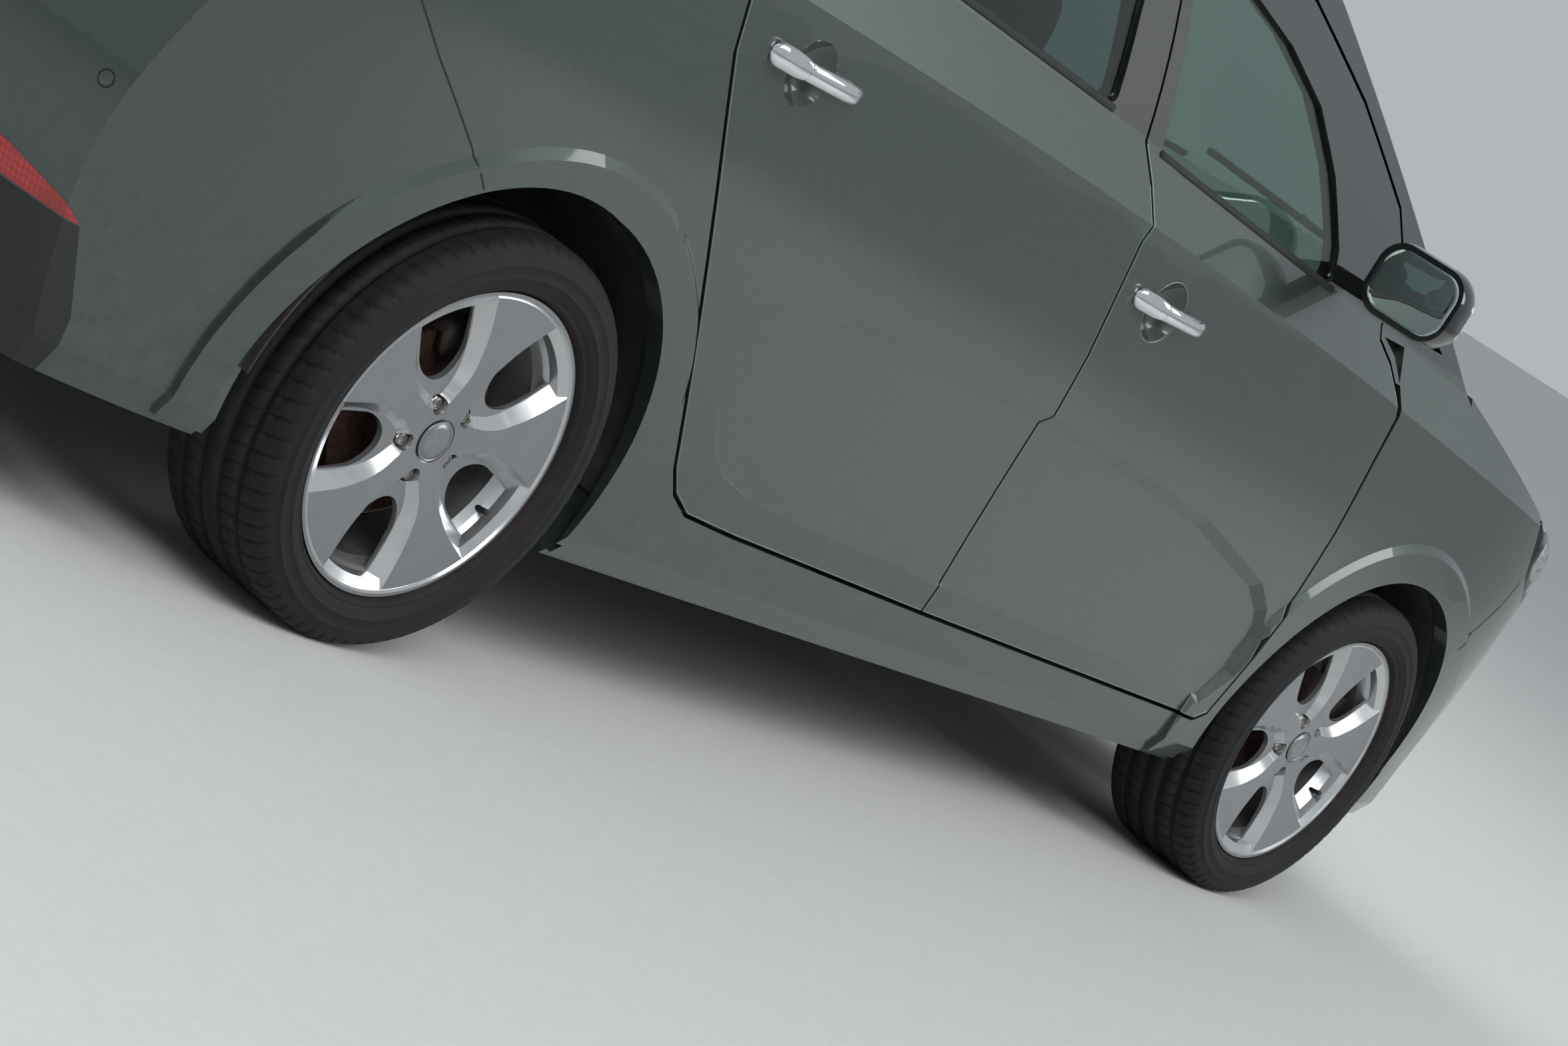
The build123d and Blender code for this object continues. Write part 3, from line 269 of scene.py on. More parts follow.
def red_material():
    """Clear red lens over rows of small prisms, with painted glints: the prisms painted bright
    orange-red in patches.
    """
    m, t, s, c = material("red_lens", Roughness=0.12, Coat_Weight=1.0, Coat_Roughness=0.02,
                          IOR=1.5, Transmission_Weight=0.25)
    x, y, z = xyz(t, c)
    columns = calc(t, "PINGPONG", plus(t, y, times(t, x, 0.35)), 0.0035)
    rows = calc(t, "PINGPONG", z, 0.0045)
    prism = plus(t, times(t, columns, 150.0), times(t, rows, 110.0), True)
    # Painted glints: prism peaks in noisy patches go from dark red up to bright orange-red
    prism_glint = times(t, prism, fade(t, noise(t, c, 16.0, 3.0), 0.25, 0.75))
    connect(t, s, Base_Color=ramp(t, prism_glint, (0.0, (0.26, 0.004, 0.004)),
                                  (0.55, (0.62, 0.012, 0.008)), (1.0, (0.95, 0.06, 0.02))))
    bump(t, s, prism, 0.25, 0.0006)
    return m


def mirror_material():
    """Silvered glass, faintly blue."""
    m, t, s, c = material("mirror_silver", Metallic=1.0, Roughness=0.015)
    connect(t, s, Base_Color=ramp(t, noise(t, c, 8.0, 2.0), (0.3, (0.66, 0.74, 0.74)),
                                  (0.7, (0.70, 0.77, 0.76))))
    return m


PAINT = paint_material("metallic_green_paint", False)
PAINT_FRAMED = paint_material("door_paint", True)
# The same paint with its colour 2.6 times lighter: a painted highlight along the panels' rounded
# edges
EDGE_HIGHLIGHT = paint_material("edge_paint", False, 2.6)
RUST = rust_material()
ALLOY = alloy_material()
TYRE = tyre_material()
CLOTH = fabric_material()
GLASS = glass_material("tinted_glass", (0.42, 0.55, 0.50))
PRIVACY = glass_material("dark_rear_glass", (0.20, 0.28, 0.26))
LENS = glass_material("clear_lens", (0.90, 0.92, 0.92))
RED = red_material()
MIRROR = mirror_material()
BLACK = plain("grained_black_plastic", (0.012, 0.012, 0.013), (0.022, 0.022, 0.022),
              9, 1500, 0.35, Roughness=0.55)
GLOSS_BLACK = plain("gloss_black", (0.004, 0.004, 0.005), (0.007, 0.007, 0.008),
                    5, 300, 0.01, Roughness=0.12, Coat_Weight=0.6)
UNDER = plain("underbody_black", (0.010, 0.010, 0.010), (0.045, 0.040, 0.034),
              12, 260, 0.6, 0.001, Roughness=0.9)
CAST = plain("cast_iron", (0.030, 0.026, 0.024), (0.080, 0.060, 0.050),
             40, 500, 0.6, Roughness=0.7, Metallic=0.6)
CHROME = plain("chrome", (0.72, 0.73, 0.75), (0.80, 0.80, 0.81),
               20, 120, 0.01, Roughness=0.06, Metallic=1.0)
TRIM = plain("soft_dash_trim", (0.016, 0.016, 0.018), (0.028, 0.028, 0.030),
             14, 1300, 0.5, Roughness=0.62)
RUBBER = plain("seal_rubber", (0.010, 0.010, 0.010), (0.018, 0.018, 0.018),
               20, 800, 0.3, Roughness=0.75)
NUT = plain("worn_nut_steel", (0.22, 0.20, 0.19), (0.42, 0.40, 0.38),
            90, 900, 0.2, Roughness=0.28, Metallic=1.0)
CAP = plain("grey_cap", (0.20, 0.21, 0.22), (0.26, 0.27, 0.28),
            40, 700, 0.1, Roughness=0.32, Metallic=0.7, Coat_Weight=0.6)
SHIELD = plain("dusty_shield", (0.10, 0.085, 0.070), (0.20, 0.175, 0.150),
               26, 300, 0.5, 0.001, Roughness=0.8)
PLATE = plain("blank_plate", (0.72, 0.72, 0.70), (0.78, 0.78, 0.76),
              12, 900, 0.2, Roughness=0.35)
SCREEN = plain("dark_display", (0.004, 0.005, 0.006), (0.008, 0.009, 0.011),
               30, 200, 0.01, Roughness=0.08)

NODE_LOOKS = (
    (PAINT_FRAMED, ("side_frames",)),
    (PAINT, ("roof_panel", "front_wings", "front_bumper", "rear_bumper", "bonnet", "tailgate",
             "door_hinges")),
    (UNDER, ("floor_pan", "wheel_liners", "front_suspension", "rear_axle")),
    (GLASS, ("windscreen",)),
    (PRIVACY, ("quarter_glass", "rear_left_glass", "rear_right_glass", "tailgate_glass")),
    (LENS, ("front_lamps",)),
    (RED, ("rear_lamps",)),
    (BLACK, ("cowl", "tailgate_hinges", "rear_cladding")),
    (GLOSS_BLACK, ("grille", "left_mirror", "right_mirror")),
    (CLOTH, ("front_seats", "rear_seats")),
    (TRIM, ("dashboard", "steering_wheel")),
    (CAST, ("engine", "left_knuckle", "right_knuckle")),
)
# For the other nodes, by the end of the name
END_LOOKS = ((PAINT_FRAMED, "_door"), (GLASS, "_glass"), (CHROME, "_handle"), (ALLOY, "_wheel"),
             (TYRE, "_tyre"), (RUST, "_brake_disc"))

for name, node in nodes.items():
    looks = [look for look, names in NODE_LOOKS if name in names]
    looks += [look for look, ending in END_LOOKS if name.endswith(ending)]
    node.data.materials.clear()
    node.data.materials.append(looks[0])


# Shape helpers. A shape is (vertices, faces)
def placed(name, data):
    """A new object in the scene."""
    obj = bpy.data.objects.new(name, data)
    bpy.context.scene.collection.objects.link(obj)
    return obj


def piece(name, shapes, look, body="body", smooth=True):
    """One mesh of some shapes, which takes its finish from a slot and rides on a CAD body."""
    verts, faces = [], []
    for shape_verts, shape_faces in shapes:
        start = len(verts)
        verts.extend(shape_verts)
        faces.extend(tuple(i + start for i in face) for face in shape_faces)
    mesh = bpy.data.meshes.new(name)
    mesh.from_pydata(verts, [], faces)
    mesh.update()
    mesh.polygons.foreach_set("use_smooth", [smooth] * len(mesh.polygons))
    mesh.materials.append(look)
    obj = placed(name, mesh)
    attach(obj, body)
    return obj


def circle(count):
    """The cosines and sines of even turns round a circle."""
    turns = [2 * math.pi * k / count for k in range(count)]
    return [(math.cos(t), math.sin(t)) for t in turns]


def spaced(low, high, steps):
    """Even values from low to high, with both."""
    return [low + (high - low) * k / steps for k in range(steps + 1)]


def tube_faces(rings, turns, capped=True):
    """The faces of a tube that is made of rings of points."""
    faces = []
    for start in range(0, (rings - 1) * turns, turns):
        for k in range(turns):
            a, b = start + k, start + (k + 1) % turns
            faces.append((a, b, b + turns, a + turns))
    if capped:
        faces += [tuple(range(turns))[::-1], tuple(range((rings - 1) * turns, rings * turns))]
    return faces


def turned_faces(steps, n, closed):
    """The faces between the turned copies of a profile of n points."""
    faces = []
    for k in range(steps):
        a, b = k * n, (k + 1) % steps * n
        for i in range(n if closed else n - 1):
            j = (i + 1) % n
            faces.append((a + i, b + i, b + j, a + j))
    return faces


def turned(profile, centre, axis, steps, closed=False):
    """A profile of (radius, distance along the axis) turned about it."""
    centre, axis = Vector(centre), Vector(axis)
    u = FORWARD if abs(axis.x) < 0.9 else ACROSS
    u = (u - axis * u.dot(axis)).normalized()
    v = axis.cross(u)
    verts = [centre + (u * cos + v * sin) * radius + axis * along
             for cos, sin in circle(steps) for radius, along in profile]
    return verts, turned_faces(steps, len(profile), closed)


def swept(points, normals, section):
    """A small section of (sideways, outwards) swept along points, whose normals are one or many."""
    if isinstance(normals, Vector):
        normals = [normals] * len(points)
    verts = []
    for i, (p, normal) in enumerate(zip(points, normals)):
        along = (points[min(i + 1, len(points) - 1)] - points[max(i - 1, 0)]).normalized()
        sideways = along.cross(normal).normalized()
        verts.extend(p + sideways * s + normal * r for s, r in section)
    return verts, tube_faces(len(points), len(section))


def round_section(radius, count=6):
    return [(radius * cos, radius * sin) for cos, sin in circle(count)]


def strip_section(half, rise):
    """A low strip with its foot just in the surface and its edges cut back."""
    return [(-half, -0.0005), (half, -0.0005), (half, rise * 0.5), (half * 0.6, rise),
            (-half * 0.6, rise), (-half, rise * 0.5)]


def bar_section(half_foot, half_top, low, high):
    return [(-half_foot, low), (half_foot, low), (half_top, high), (-half_top, high)]


def slab(points, facing, thick, rounding, lift=0.0, rings=3):
    """A plate with an outline of points, its rim rounded and its face domed by lift."""
    centre = sum(points, Vector()) / len(points)
    size = max((p - centre).length for p in points)
    layers = [(1.0, 0.0), (1.0, thick - rounding)]
    for a in (math.pi / 4, math.pi / 2):
        layers.append((1 - rounding * (1 - math.cos(a)) / size,
                       thick - rounding + rounding * math.sin(a)))
    for k in range(1, rings):
        f = 1 - k / rings
        layers.append((f, thick + lift * (1 - f * f)))
    verts = [centre + (p - centre) * scale + facing * out for scale, out in layers for p in points]
    n, top = len(points), len(verts)
    verts.append(centre + facing * (thick + lift))
    faces = tube_faces(len(layers), n, capped=False)
    faces += [(top - n + k, top - n + (k + 1) % n, top) for k in range(n)]
    faces.append(tuple(range(n))[::-1])
    return verts, faces


def rounded_outline(centre, side, up, wide, tall, corner, steps=8):
    """Points round a rectangle with round corners."""
    points = []
    for sx, sz, start in ((1, 1, 0), (-1, 1, 90), (-1, -1, 180), (1, -1, 270)):
        for angle in spaced(start, start + 90, steps):
            a = math.radians(angle)
            x = sx * (wide / 2 - corner) + corner * math.cos(a)
            z = sz * (tall / 2 - corner) + corner * math.sin(a)
            points.append(Vector(centre) + side * x + up * z)
    return points


def rounded_block(low, high, edge=0.012):
    """An upright box with round corners, its top edges cut back."""
    (x0, y0, z0), (x1, y1, z1) = low, high
    outline = rounded_outline(((x0 + x1) / 2, (y0 + y1) / 2, z0), FORWARD, ACROSS,
                              x1 - x0, y1 - y0, edge, 4)
    return slab(outline, UP, z1 - z0, edge * 0.6)


def post(low, high, radius):
    along = Vector(high) - Vector(low)
    profile = [(0.0, 0.0), (radius, 0.0), (radius, along.length), (0.0, along.length)]
    return turned(profile, low, along.normalized(), 12)


def bvh(*names):
    """The surface of some CAD nodes at rest, to lay small parts on."""
    verts, faces = [], []
    for name in names:
        mesh = nodes[name].data
        start = len(verts)
        verts.extend(v.co.copy() for v in mesh.vertices)
        faces.extend([i + start for i in p.vertices] for p in mesh.polygons)
    return BVHTree.FromPolygons(verts, faces)


def cast(tree, start, way):
    """Where a ray meets a surface, and its normal towards the ray's start."""
    place, normal, _, _ = tree.ray_cast(Vector(start), way.normalized())
    if place is None:
        return None, None
    return place, (normal if normal.dot(way) < 0 else -normal)


def on_side(tree, x, z, side):
    """The place and normal of the car's side at x, z, or just beside a gap there."""
    for shift in (0.0, 0.002, -0.002, 0.004, -0.004):
        place, normal = cast(tree, (x, side * 1.3, z + shift), Vector((0, -side, 0)))
        if place is not None and place.y * side > 0.6:
            return Vector((x, place.y, z)), normal
    raise ValueError(f"no surface at {x}, {z}")


def on_end(tree, y, z, end):
    """The place and normal of the nose (1) or tail (-1) at y, z."""
    place, normal = cast(tree, (end * 3.0, y, z), Vector((-end, 0, 0)))
    if place is None:
        raise ValueError(f"no end surface at {y}, {z}")
    return place, normal


def welded(name):
    """A CAD node's mesh with its doubled points joined."""
    bm = bmesh.new()
    bm.from_mesh(nodes[name].data)
    bmesh.ops.remove_doubles(bm, verts=bm.verts, dist=0.00002)
    bm.normal_update()
    return bm


def ease(value, low, high):
    """0 below low, 1 above high, smooth between."""
    f = min(max((value - low) / (high - low), 0.0), 1.0)
    return f * f * (3 - 2 * f)


def power(value, exponent):
    """A power that keeps the sign."""
    return math.copysign(abs(value) ** exponent, value)


# Wheels: tyres with grooves, sipes and rim guard; nuts, cap and valve
VALVE_TURN = 201.5
PITCHES = 72
PITCH_STEPS = 8
TREAD_HALF = 0.0680
CROWN_RADIUS = 0.3168
GROOVES = (-0.058, -0.0195, 0.0195, 0.058)
GROOVE_HALF = 0.0045
GROOVE_DEPTH = 0.0075
GROOVE_EDGE = 0.0008
RIB_MIDDLE = 0.0192
NOTCH_DEPTH = 0.0045
SIPE_DEPTH = 0.0030
SIPED_FROM = 0.024
SHOULDER = (
    # radius, distance out
    (0.3035, 0.1050), (0.3075, 0.1022), (0.3110, 0.0982), (0.3137, 0.0928), (0.3150, 0.0870),
    (0.3156, 0.0810), (0.3160, 0.0740),
)
SIDEWALL = (
    (0.2192, 0.0869), (0.2362, 0.0872), (0.2388, 0.0950), (0.2410, 0.0985), (0.2440, 0.1042),
    (0.2462, 0.1052), (0.2482, 0.1040), (0.2505, 0.1066), (0.2580, 0.1102), (0.2640, 0.1117),
    (0.2648, 0.1126), (0.2656, 0.1120), (0.2740, 0.1124), (0.2830, 0.1115), (0.2838, 0.1121),
    (0.2850, 0.1108), (0.2930, 0.1082), (0.2985, 0.1066),
)
NUT_SEAT = ((0.0, 0.0505), (0.0126, 0.0505), (0.0126, 0.0560), (0.0112, 0.0580))
NUT_FLATS = ((0.0108, 0.0575), (0.0108, 0.0720), (0.0095, 0.0735))
NUT_TOP = ((0.0095, 0.0735), (0.0088, 0.0752), (0.0066, 0.0758), (0.0060, 0.0738), (0.0, 0.0738))
CAP_PROFILE = ((0.0305, 0.0815), (0.0305, 0.0835), (0.0296, 0.0843), (0.0284, 0.0843),
               (0.0278, 0.0834), (0.0268, 0.0834), (0.0262, 0.0845), (0.0200, 0.0853),
               (0.0100, 0.0857), (0.0, 0.0858))
VALVE_FOOT, VALVE_TIP = (0.2065, 0.0590), (0.1900, 0.0880)
VALVE_STEM = ((0, 0.0052), (0.45, 0.0040), (0.46, 0.0046), (0.97, 0.0046), (1.0, 0.0034))
SHIELD_RING = ((0.060, -0.004), (0.146, -0.004), (0.150, 0.002), (0.150, 0.014),
               (0.1515, 0.014), (0.1515, 0.001), (0.147, -0.006), (0.060, -0.006))
CALIPER = ((0.100, -0.014), (0.100, -0.003), (0.1435, -0.003), (0.1435, 0.028), (0.104, 0.028),
           (0.104, 0.040), (0.150, 0.044), (0.162, 0.036), (0.164, 0.014), (0.158, -0.010),
           (0.140, -0.016))
CALIPER_MIDDLE = 0.130
CALIPER_TURN, CALIPER_SPREAD = 92, 22


def tread_profile():
    """(radius, distance out, kind) from the outer bead over the tread to the inner bead."""
    half = [(r, o, "wall") for r, o in SIDEWALL] + [(r, o, "shoulder") for r, o in SHOULDER]
    places = [TREAD_HALF]
    for groove in GROOVES[::-1]:
        places += [groove + GROOVE_HALF + GROOVE_EDGE, groove + GROOVE_HALF,
                   groove - GROOVE_HALF, groove - GROOVE_HALF - GROOVE_EDGE]
        if groove > GROOVES[0]:
            places.append(groove - RIB_MIDDLE)
    places.append(-TREAD_HALF)
    tread = []
    for out in places:
        crown = CROWN_RADIUS - 0.0008 * (abs(out) / SHOULDER[-1][1]) ** 2
        deep = any(abs(out - groove) <= GROOVE_HALF + 0.0001 for groove in GROOVES)
        tread.append((crown - GROOVE_DEPTH, out, "groove") if deep else (crown, out, "rib"))
    return half + tread + [(r, -o, kind) for r, o, kind in half[::-1]]


def tyre_piece(corner, axle_x, side):
    """The tread's profile turned, with a shoulder notch and sipes cut at each pitch."""
    profile = tread_profile()
    steps = PITCHES * PITCH_STEPS
    verts = []
    for k, (cos, sin) in enumerate(circle(steps)):
        for radius, out, kind in profile:
            stagger = PITCH_STEPS // 2 if out < 0 else 0
            at_cut = (k + stagger + int(abs(out) * 60)) % PITCH_STEPS == 0
            if at_cut and kind == "shoulder":
                radius -= NOTCH_DEPTH
            elif at_cut and kind == "rib" and abs(out) > SIPED_FROM:
                radius -= SIPE_DEPTH
            verts.append((axle_x + radius * cos, side * (WHEEL_Y + out),
                          TYRE_RADIUS + radius * sin))
    faces = turned_faces(steps, len(profile), True)
    if side > 0:
        faces = [face[:1] + face[:0:-1] for face in faces]
    tyre = piece(corner + "_road_tyre", [(verts, faces)], TYRE, corner + "_wheel")
    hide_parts(corner + "_tyre")


def wheel_fittings(corner, axle_x, side):
    """Wheel nuts in their holes, a plain cap and a valve."""
    body = corner + "_wheel"
    hub = Vector((axle_x, side * WHEEL_Y, TYRE_RADIUS))
    facing = ACROSS * side

    def way(turn):
        t = math.radians(turn if side > 0 else 180 - turn)
        return Vector((math.cos(t), 0, math.sin(t)))

    nuts = [turned(profile, hub + way(turn) * LUG_RADIUS, facing, steps) for turn in LUG_TURNS
            for profile, steps in ((NUT_SEAT, 20), (NUT_FLATS, 6), (NUT_TOP, 18))]
    piece(corner + "_wheel_nuts", nuts, NUT, body, smooth=False)
    piece(corner + "_wheel_cap", [turned(CAP_PROFILE, hub, facing, 56)], CAP, body)
    foot, tip = (hub + way(VALVE_TURN) * r + facing * out for r, out in (VALVE_FOOT, VALVE_TIP))
    along = (tip - foot).normalized()
    u = along.orthogonal().normalized()
    v = along.cross(u)
    verts = [foot.lerp(tip, f) + u * (radius * cos) + v * (radius * sin)
             for f, radius in VALVE_STEM for cos, sin in circle(12)]
    piece(corner + "_valve", [(verts, tube_faces(len(VALVE_STEM), 12))], RUBBER, body)


def rear_brake(name, side):
    """A dusty shield behind the disc, and the caliper over it."""
    hub = Vector((REAR_AXLE_X, side * WHEEL_Y, TYRE_RADIUS))
    shield = turned(SHIELD_RING, hub, ACROSS * side, 64, True)
    piece(name + "_shield", [shield], SHIELD)
    verts = []
    stations = spaced(-1, 1, 12)
    for f in stations:
        a = math.radians(CALIPER_TURN + CALIPER_SPREAD * f)
        a = a if side > 0 else math.pi - a
        thinner = 1 - 0.5 * abs(f) ** 6
        for radius, out in CALIPER:
            r = CALIPER_MIDDLE + (radius - CALIPER_MIDDLE) * thinner
            verts.append(hub + Vector((r * math.cos(a), side * out, r * math.sin(a))))
    caliper = (verts, tube_faces(len(stations), len(CALIPER)))
    piece(name + "_caliper", [caliper], CAST)


for row, axle_x in (("front", FRONT_AXLE_X), ("rear", REAR_AXLE_X)):
    for name, side in SIDES:
        tyre_piece(f"{row}_{name}", axle_x, side)
        wheel_fittings(f"{row}_{name}", axle_x, side)
for name, side in SIDES:
    rear_brake("rear_" + name, side)

# Panel edges with painted highlights, and door handles
BEAD_RADIUS = 0.0015
SHARP = math.radians(55)
# row, x, z
HANDLES = (("front", 0.038, 0.930), ("rear", -1.120, 0.998))
HANDLE_HALF = 0.115
HANDLE_STAND, HANDLE_BOW, HANDLE_THICK = 0.006, 0.038, 0.017
HANDLE_HALF_TALL = 0.0140
SPLIT_EDGES = (-0.510, -0.505, -0.485, -0.480)
SPLIT_DEPTH = 0.0018


def edge_beads(panel, outward):
    """Rounds a panel's outer edges with a bead on each sharp edge that outward() accepts; the
    bead's rounding is real shape, and its lightened paint is a painted highlight along the edge.
    """
    bm = welded(panel)
    ring = round_section(BEAD_RADIUS, 8)
    shapes = []
    for edge in bm.edges:
        if len(edge.link_faces) != 2 or edge.calc_length() < 1e-5:
            continue
        one, two = (face.normal for face in edge.link_faces)
        if one.angle(two, 0.0) > SHARP and (outward(one, edge) or outward(two, edge)):
            a, b = (v.co for v in edge.verts)
            out = (one + two).normalized()
            sideways = (b - a).normalized().cross(out).normalized()
            verts = [end - out * BEAD_RADIUS * 0.85 + sideways * s + out * r
                     for end in (a, b) for s, r in ring]
            shapes.append((verts, tube_faces(2, len(ring), capped=False)))
    bm.free()
    piece(panel + "_edges", shapes, EDGE_HIGHLIGHT, panel)


def door_handle(row, name, side, x, z):
    """A chrome grip whose ends stand on the door, with a fine split near its rear end."""
    door = f"{row}_{name}_door"
    tree = bvh(door)
    back, front = (on_side(tree, x + end * HANDLE_HALF, z, side)[0].y for end in (-1, 1))
    places = sorted([*spaced(-1, 1, 48), *SPLIT_EDGES])
    turns = circle(20)
    verts = []
    for u in places:
        from_middle = abs(u)
        skin = abs(back + (front - back) * (u + 1) / 2)
        taper = math.sqrt(max(1 - max(0.0, (from_middle - 0.86) / 0.14) ** 2, 0.03))
        outer = skin + HANDLE_STAND + HANDLE_BOW * (1 - from_middle ** 3)
        foot = ease(from_middle, 0.62, 0.80)
        inner = (outer - HANDLE_THICK) * (1 - foot) + (skin - 0.003) * foot
        half_z = HANDLE_HALF_TALL + 0.0040 * ease(-u, 0.42, 0.72) - 0.0020 * ease(u, 0.3, 1.0)
        half_z *= taper
        half_out = (outer - inner) / 2 * (0.3 + 0.7 * taper)
        if SPLIT_EDGES[1] <= u <= SPLIT_EDGES[2]:
            half_z -= SPLIT_DEPTH
            half_out -= SPLIT_DEPTH
        for cos, sin in turns:
            y = (outer + inner) / 2 + power(sin, 0.85) * half_out
            verts.append((x + u * HANDLE_HALF, side * y, z + power(cos, 0.62) * half_z))
    tube = (verts, tube_faces(len(places), len(turns)))
    grip = piece(f"{row}_{name}_chrome_grip", [tube], CHROME, door)
    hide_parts(f"{row}_{name}_handle")


for row in ("front", "rear"):
    for name, side in SIDES:
        edge_beads(f"{row}_{name}_door", lambda normal, edge, s=side:
                   normal.y * s > 0.45 and abs(edge.verts[0].co.y) > 0.855)
edge_beads("bonnet", lambda normal, edge: normal.z > 0.55)
for row, x, z in HANDLES:
    for name, side in SIDES:
        door_handle(row, name, side, x, z)

# Window seals, mirror glass and mirror indicators
SEALS = (
    # row, rear end, front end
    ("front", (-0.148, 1.1382), (0.557, 1.0855)),
    ("rear", (-1.283, 1.2155), (-0.332, 1.1615)),
)
MIRROR_X, MIRROR_Y, MIRROR_Z = 0.4952, 1.012, 1.156
INDICATOR_X, INDICATOR_TOP, INDICATOR_LOW = 0.550, 1.188, 1.126


def strip_on_side(tree, places, side, section):
    """A strip laid on the car's side through places of (x, z)."""
    points, normals = zip(*(on_side(tree, x, z, side) for x, z in places))
    return swept(points, normals, section)


for name, side in SIDES:
    for row, (x0, z0), (x1, z1) in SEALS:
        door = f"{row}_{name}_door"
        places = list(zip(spaced(x0, x1, 24), spaced(z0, z1, 24)))
        seal = strip_on_side(bvh(door), places, side, strip_section(0.0062, 0.0032))
        piece(f"{row}_{name}_window_seal", [seal], RUBBER, door)
    body = f"front_{name}_door"
    outline = rounded_outline((MIRROR_X, side * MIRROR_Y, MIRROR_Z), ACROSS, UP,
                              0.1596, 0.1156, 0.0398)
    glass = slab(outline, -FORWARD, 0.0022, 0.0008, 0.0022, 10)
    piece(name + "_mirror_glass", [glass], MIRROR, body)
    places = [(INDICATOR_X, z) for z in spaced(INDICATOR_TOP, INDICATOR_LOW, 16)]
    indicator = strip_on_side(bvh(name + "_mirror"), places, side, strip_section(0.011, 0.0012))
    piece(name + "_mirror_indicator", [indicator], LENS, body)

# Parking sensors, dark strips of painted shade on the bumper seams and round the fuel flap, and
# number plates
SENSORS = (
    # bumper, end, places of (y, z)
    ("rear", -1, ((0.74, 0.574), (0.27, 0.574))),
    ("front", 1, ((0.70, 0.560), (0.25, 0.560))),
)
SENSOR_RADIUS = 0.0098
RING_RADIUS = 0.0112
# Lines where the bumpers meet the body; the dark strips laid along them are painted shade for the
# gaps
REAR_SEAM = ((-1.613, 0.6635), (-1.665, 0.705), (-1.806, 0.793), (-1.890, 0.854),
             (-1.958, 0.872))
FRONT_SEAM = ((1.668, 0.6105), (1.700, 0.649), (1.757, 0.717), (1.788, 0.786))
FLAP_X, FLAP_Z, FLAP_SIZE = -1.640, 1.000, 0.165
PLATES = (
    # end, centre, side it faces, body
    ("front", (2.2440, 0, 0.450), 1, "body"),
    ("rear", (-2.1900, 0, 0.882), -1, "tailgate"),
)

for name, end, places in SENSORS:
    tree = bvh(name + "_bumper")
    discs, rings = [], []
    for y, z in places:
        for side in (1, -1):
            p, n = on_end(tree, side * y, z, end)
            u = n.cross(UP).normalized()
            v = u.cross(n)
            ways = [u * cos + v * sin for cos, sin in circle(28)]
            disc = [p + way * SENSOR_RADIUS for way in ways]
            discs.append(slab(disc, n, 0.0010, 0.0004, 0.0004))
            ring = [p + way * RING_RADIUS for way in ways + ways[:1]]
            rings.append(swept(ring, n, round_section(0.0011)))
    piece(name + "_sensors", discs, PAINT)
    piece(name + "_sensor_rings", rings, RUBBER)

# Thin dark strips along the bumper seams and round the fuel flap: painted shade standing in for the
# gaps there
flap = [(p.x, p.z) for p in rounded_outline((FLAP_X, 0, FLAP_Z), FORWARD, UP, FLAP_SIZE,
                                            FLAP_SIZE, 0.040)]
tree = bvh("side_frames", "rear_bumper", "front_bumper", "front_wings")
seams = []
for line, sides in ((REAR_SEAM, (1, -1)), (FRONT_SEAM, (1, -1)), (flap + flap[:1], (1,))):
    places = []
    for (x0, z0), (x1, z1) in zip(line, line[1:]):
        count = max(2, int(math.hypot(x1 - x0, z1 - z0) / 0.012))
        places += list(zip(spaced(x0, x1, count), spaced(z0, z1, count)))[:-1]
    seams += [strip_on_side(tree, places, side, strip_section(0.0014, 0.0006)) for side in sides]
piece("panel_seams", seams, RUBBER)

for name, centre, end, body in PLATES:
    outline = rounded_outline(centre, ACROSS, UP, 0.520, 0.110, 0.010)
    plate = slab(outline, FORWARD * end, 0.0022, 0.0008)
    piece(name + "_blank_plate", [plate], PLATE, body)

# Wipers lie on the glass
WIPER_RUBBER = bar_section(0.0008, 0.003, -0.001, 0.005)
WIPER_SPINE = ((-0.007, 0), (0.007, 0), (0.005, 0.005), (-0.002, 0.009), (-0.006, 0.004))
WIPER_ARM = bar_section(0.008, 0.006, -0.002, 0.004)
WIPER_BOSS = ((0.0, 0.009), (0.008, 0.009), (0.013, 0.004), (0.013, -0.022), (0.0, -0.022))


def wiper(name, tree, end, foot, path, body):
    """A blade along a path of (y, z) on the glass; its arm stands at foot, (y, z) and a shift."""
    place, shift = foot
    pivot = on_end(tree, *place, end)[0] + Vector(shift)
    points, normals = zip(*(on_end(tree, y, z, end) for y, z in path))
    rubber = swept([p + n * 0.001 for p, n in zip(points, normals)], normals, WIPER_RUBBER)
    spine = swept([p + n * 0.006 for p, n in zip(points, normals)], normals, WIPER_SPINE)
    middle = len(points) // 2
    out = normals[middle]
    top = points[middle] + out * 0.013
    bow = [pivot.lerp(top, f) + out * 0.012 * math.sin(math.pi * f) for f in spaced(0, 1, 8)]
    arm = swept(bow, out, WIPER_ARM)
    boss = turned(WIPER_BOSS, pivot, out, 20)
    piece(name, [rubber, spine, arm, boss], RUBBER, body)


screen_tree = bvh("windscreen")
for name, side, tip_y, low_z in (("left", 1, -0.02, 1.098), ("right", -1, 0.10, 1.128)):
    path = list(zip(spaced(side * 0.60, side * tip_y, 16), spaced(low_z, low_z + 0.030, 16)))
    wiper(name + "_wiper", screen_tree, 1, ((side * 0.60, 1.062), (0.020, 0, 0.006)), path, "body")
path = list(zip(spaced(0.02, -0.34, 12), spaced(1.162, 1.168, 12)))
wiper("rear_wiper", bvh("tailgate_glass"), -1, ((0.0, 1.150), (-0.010, 0, 0)), path, "tailgate")

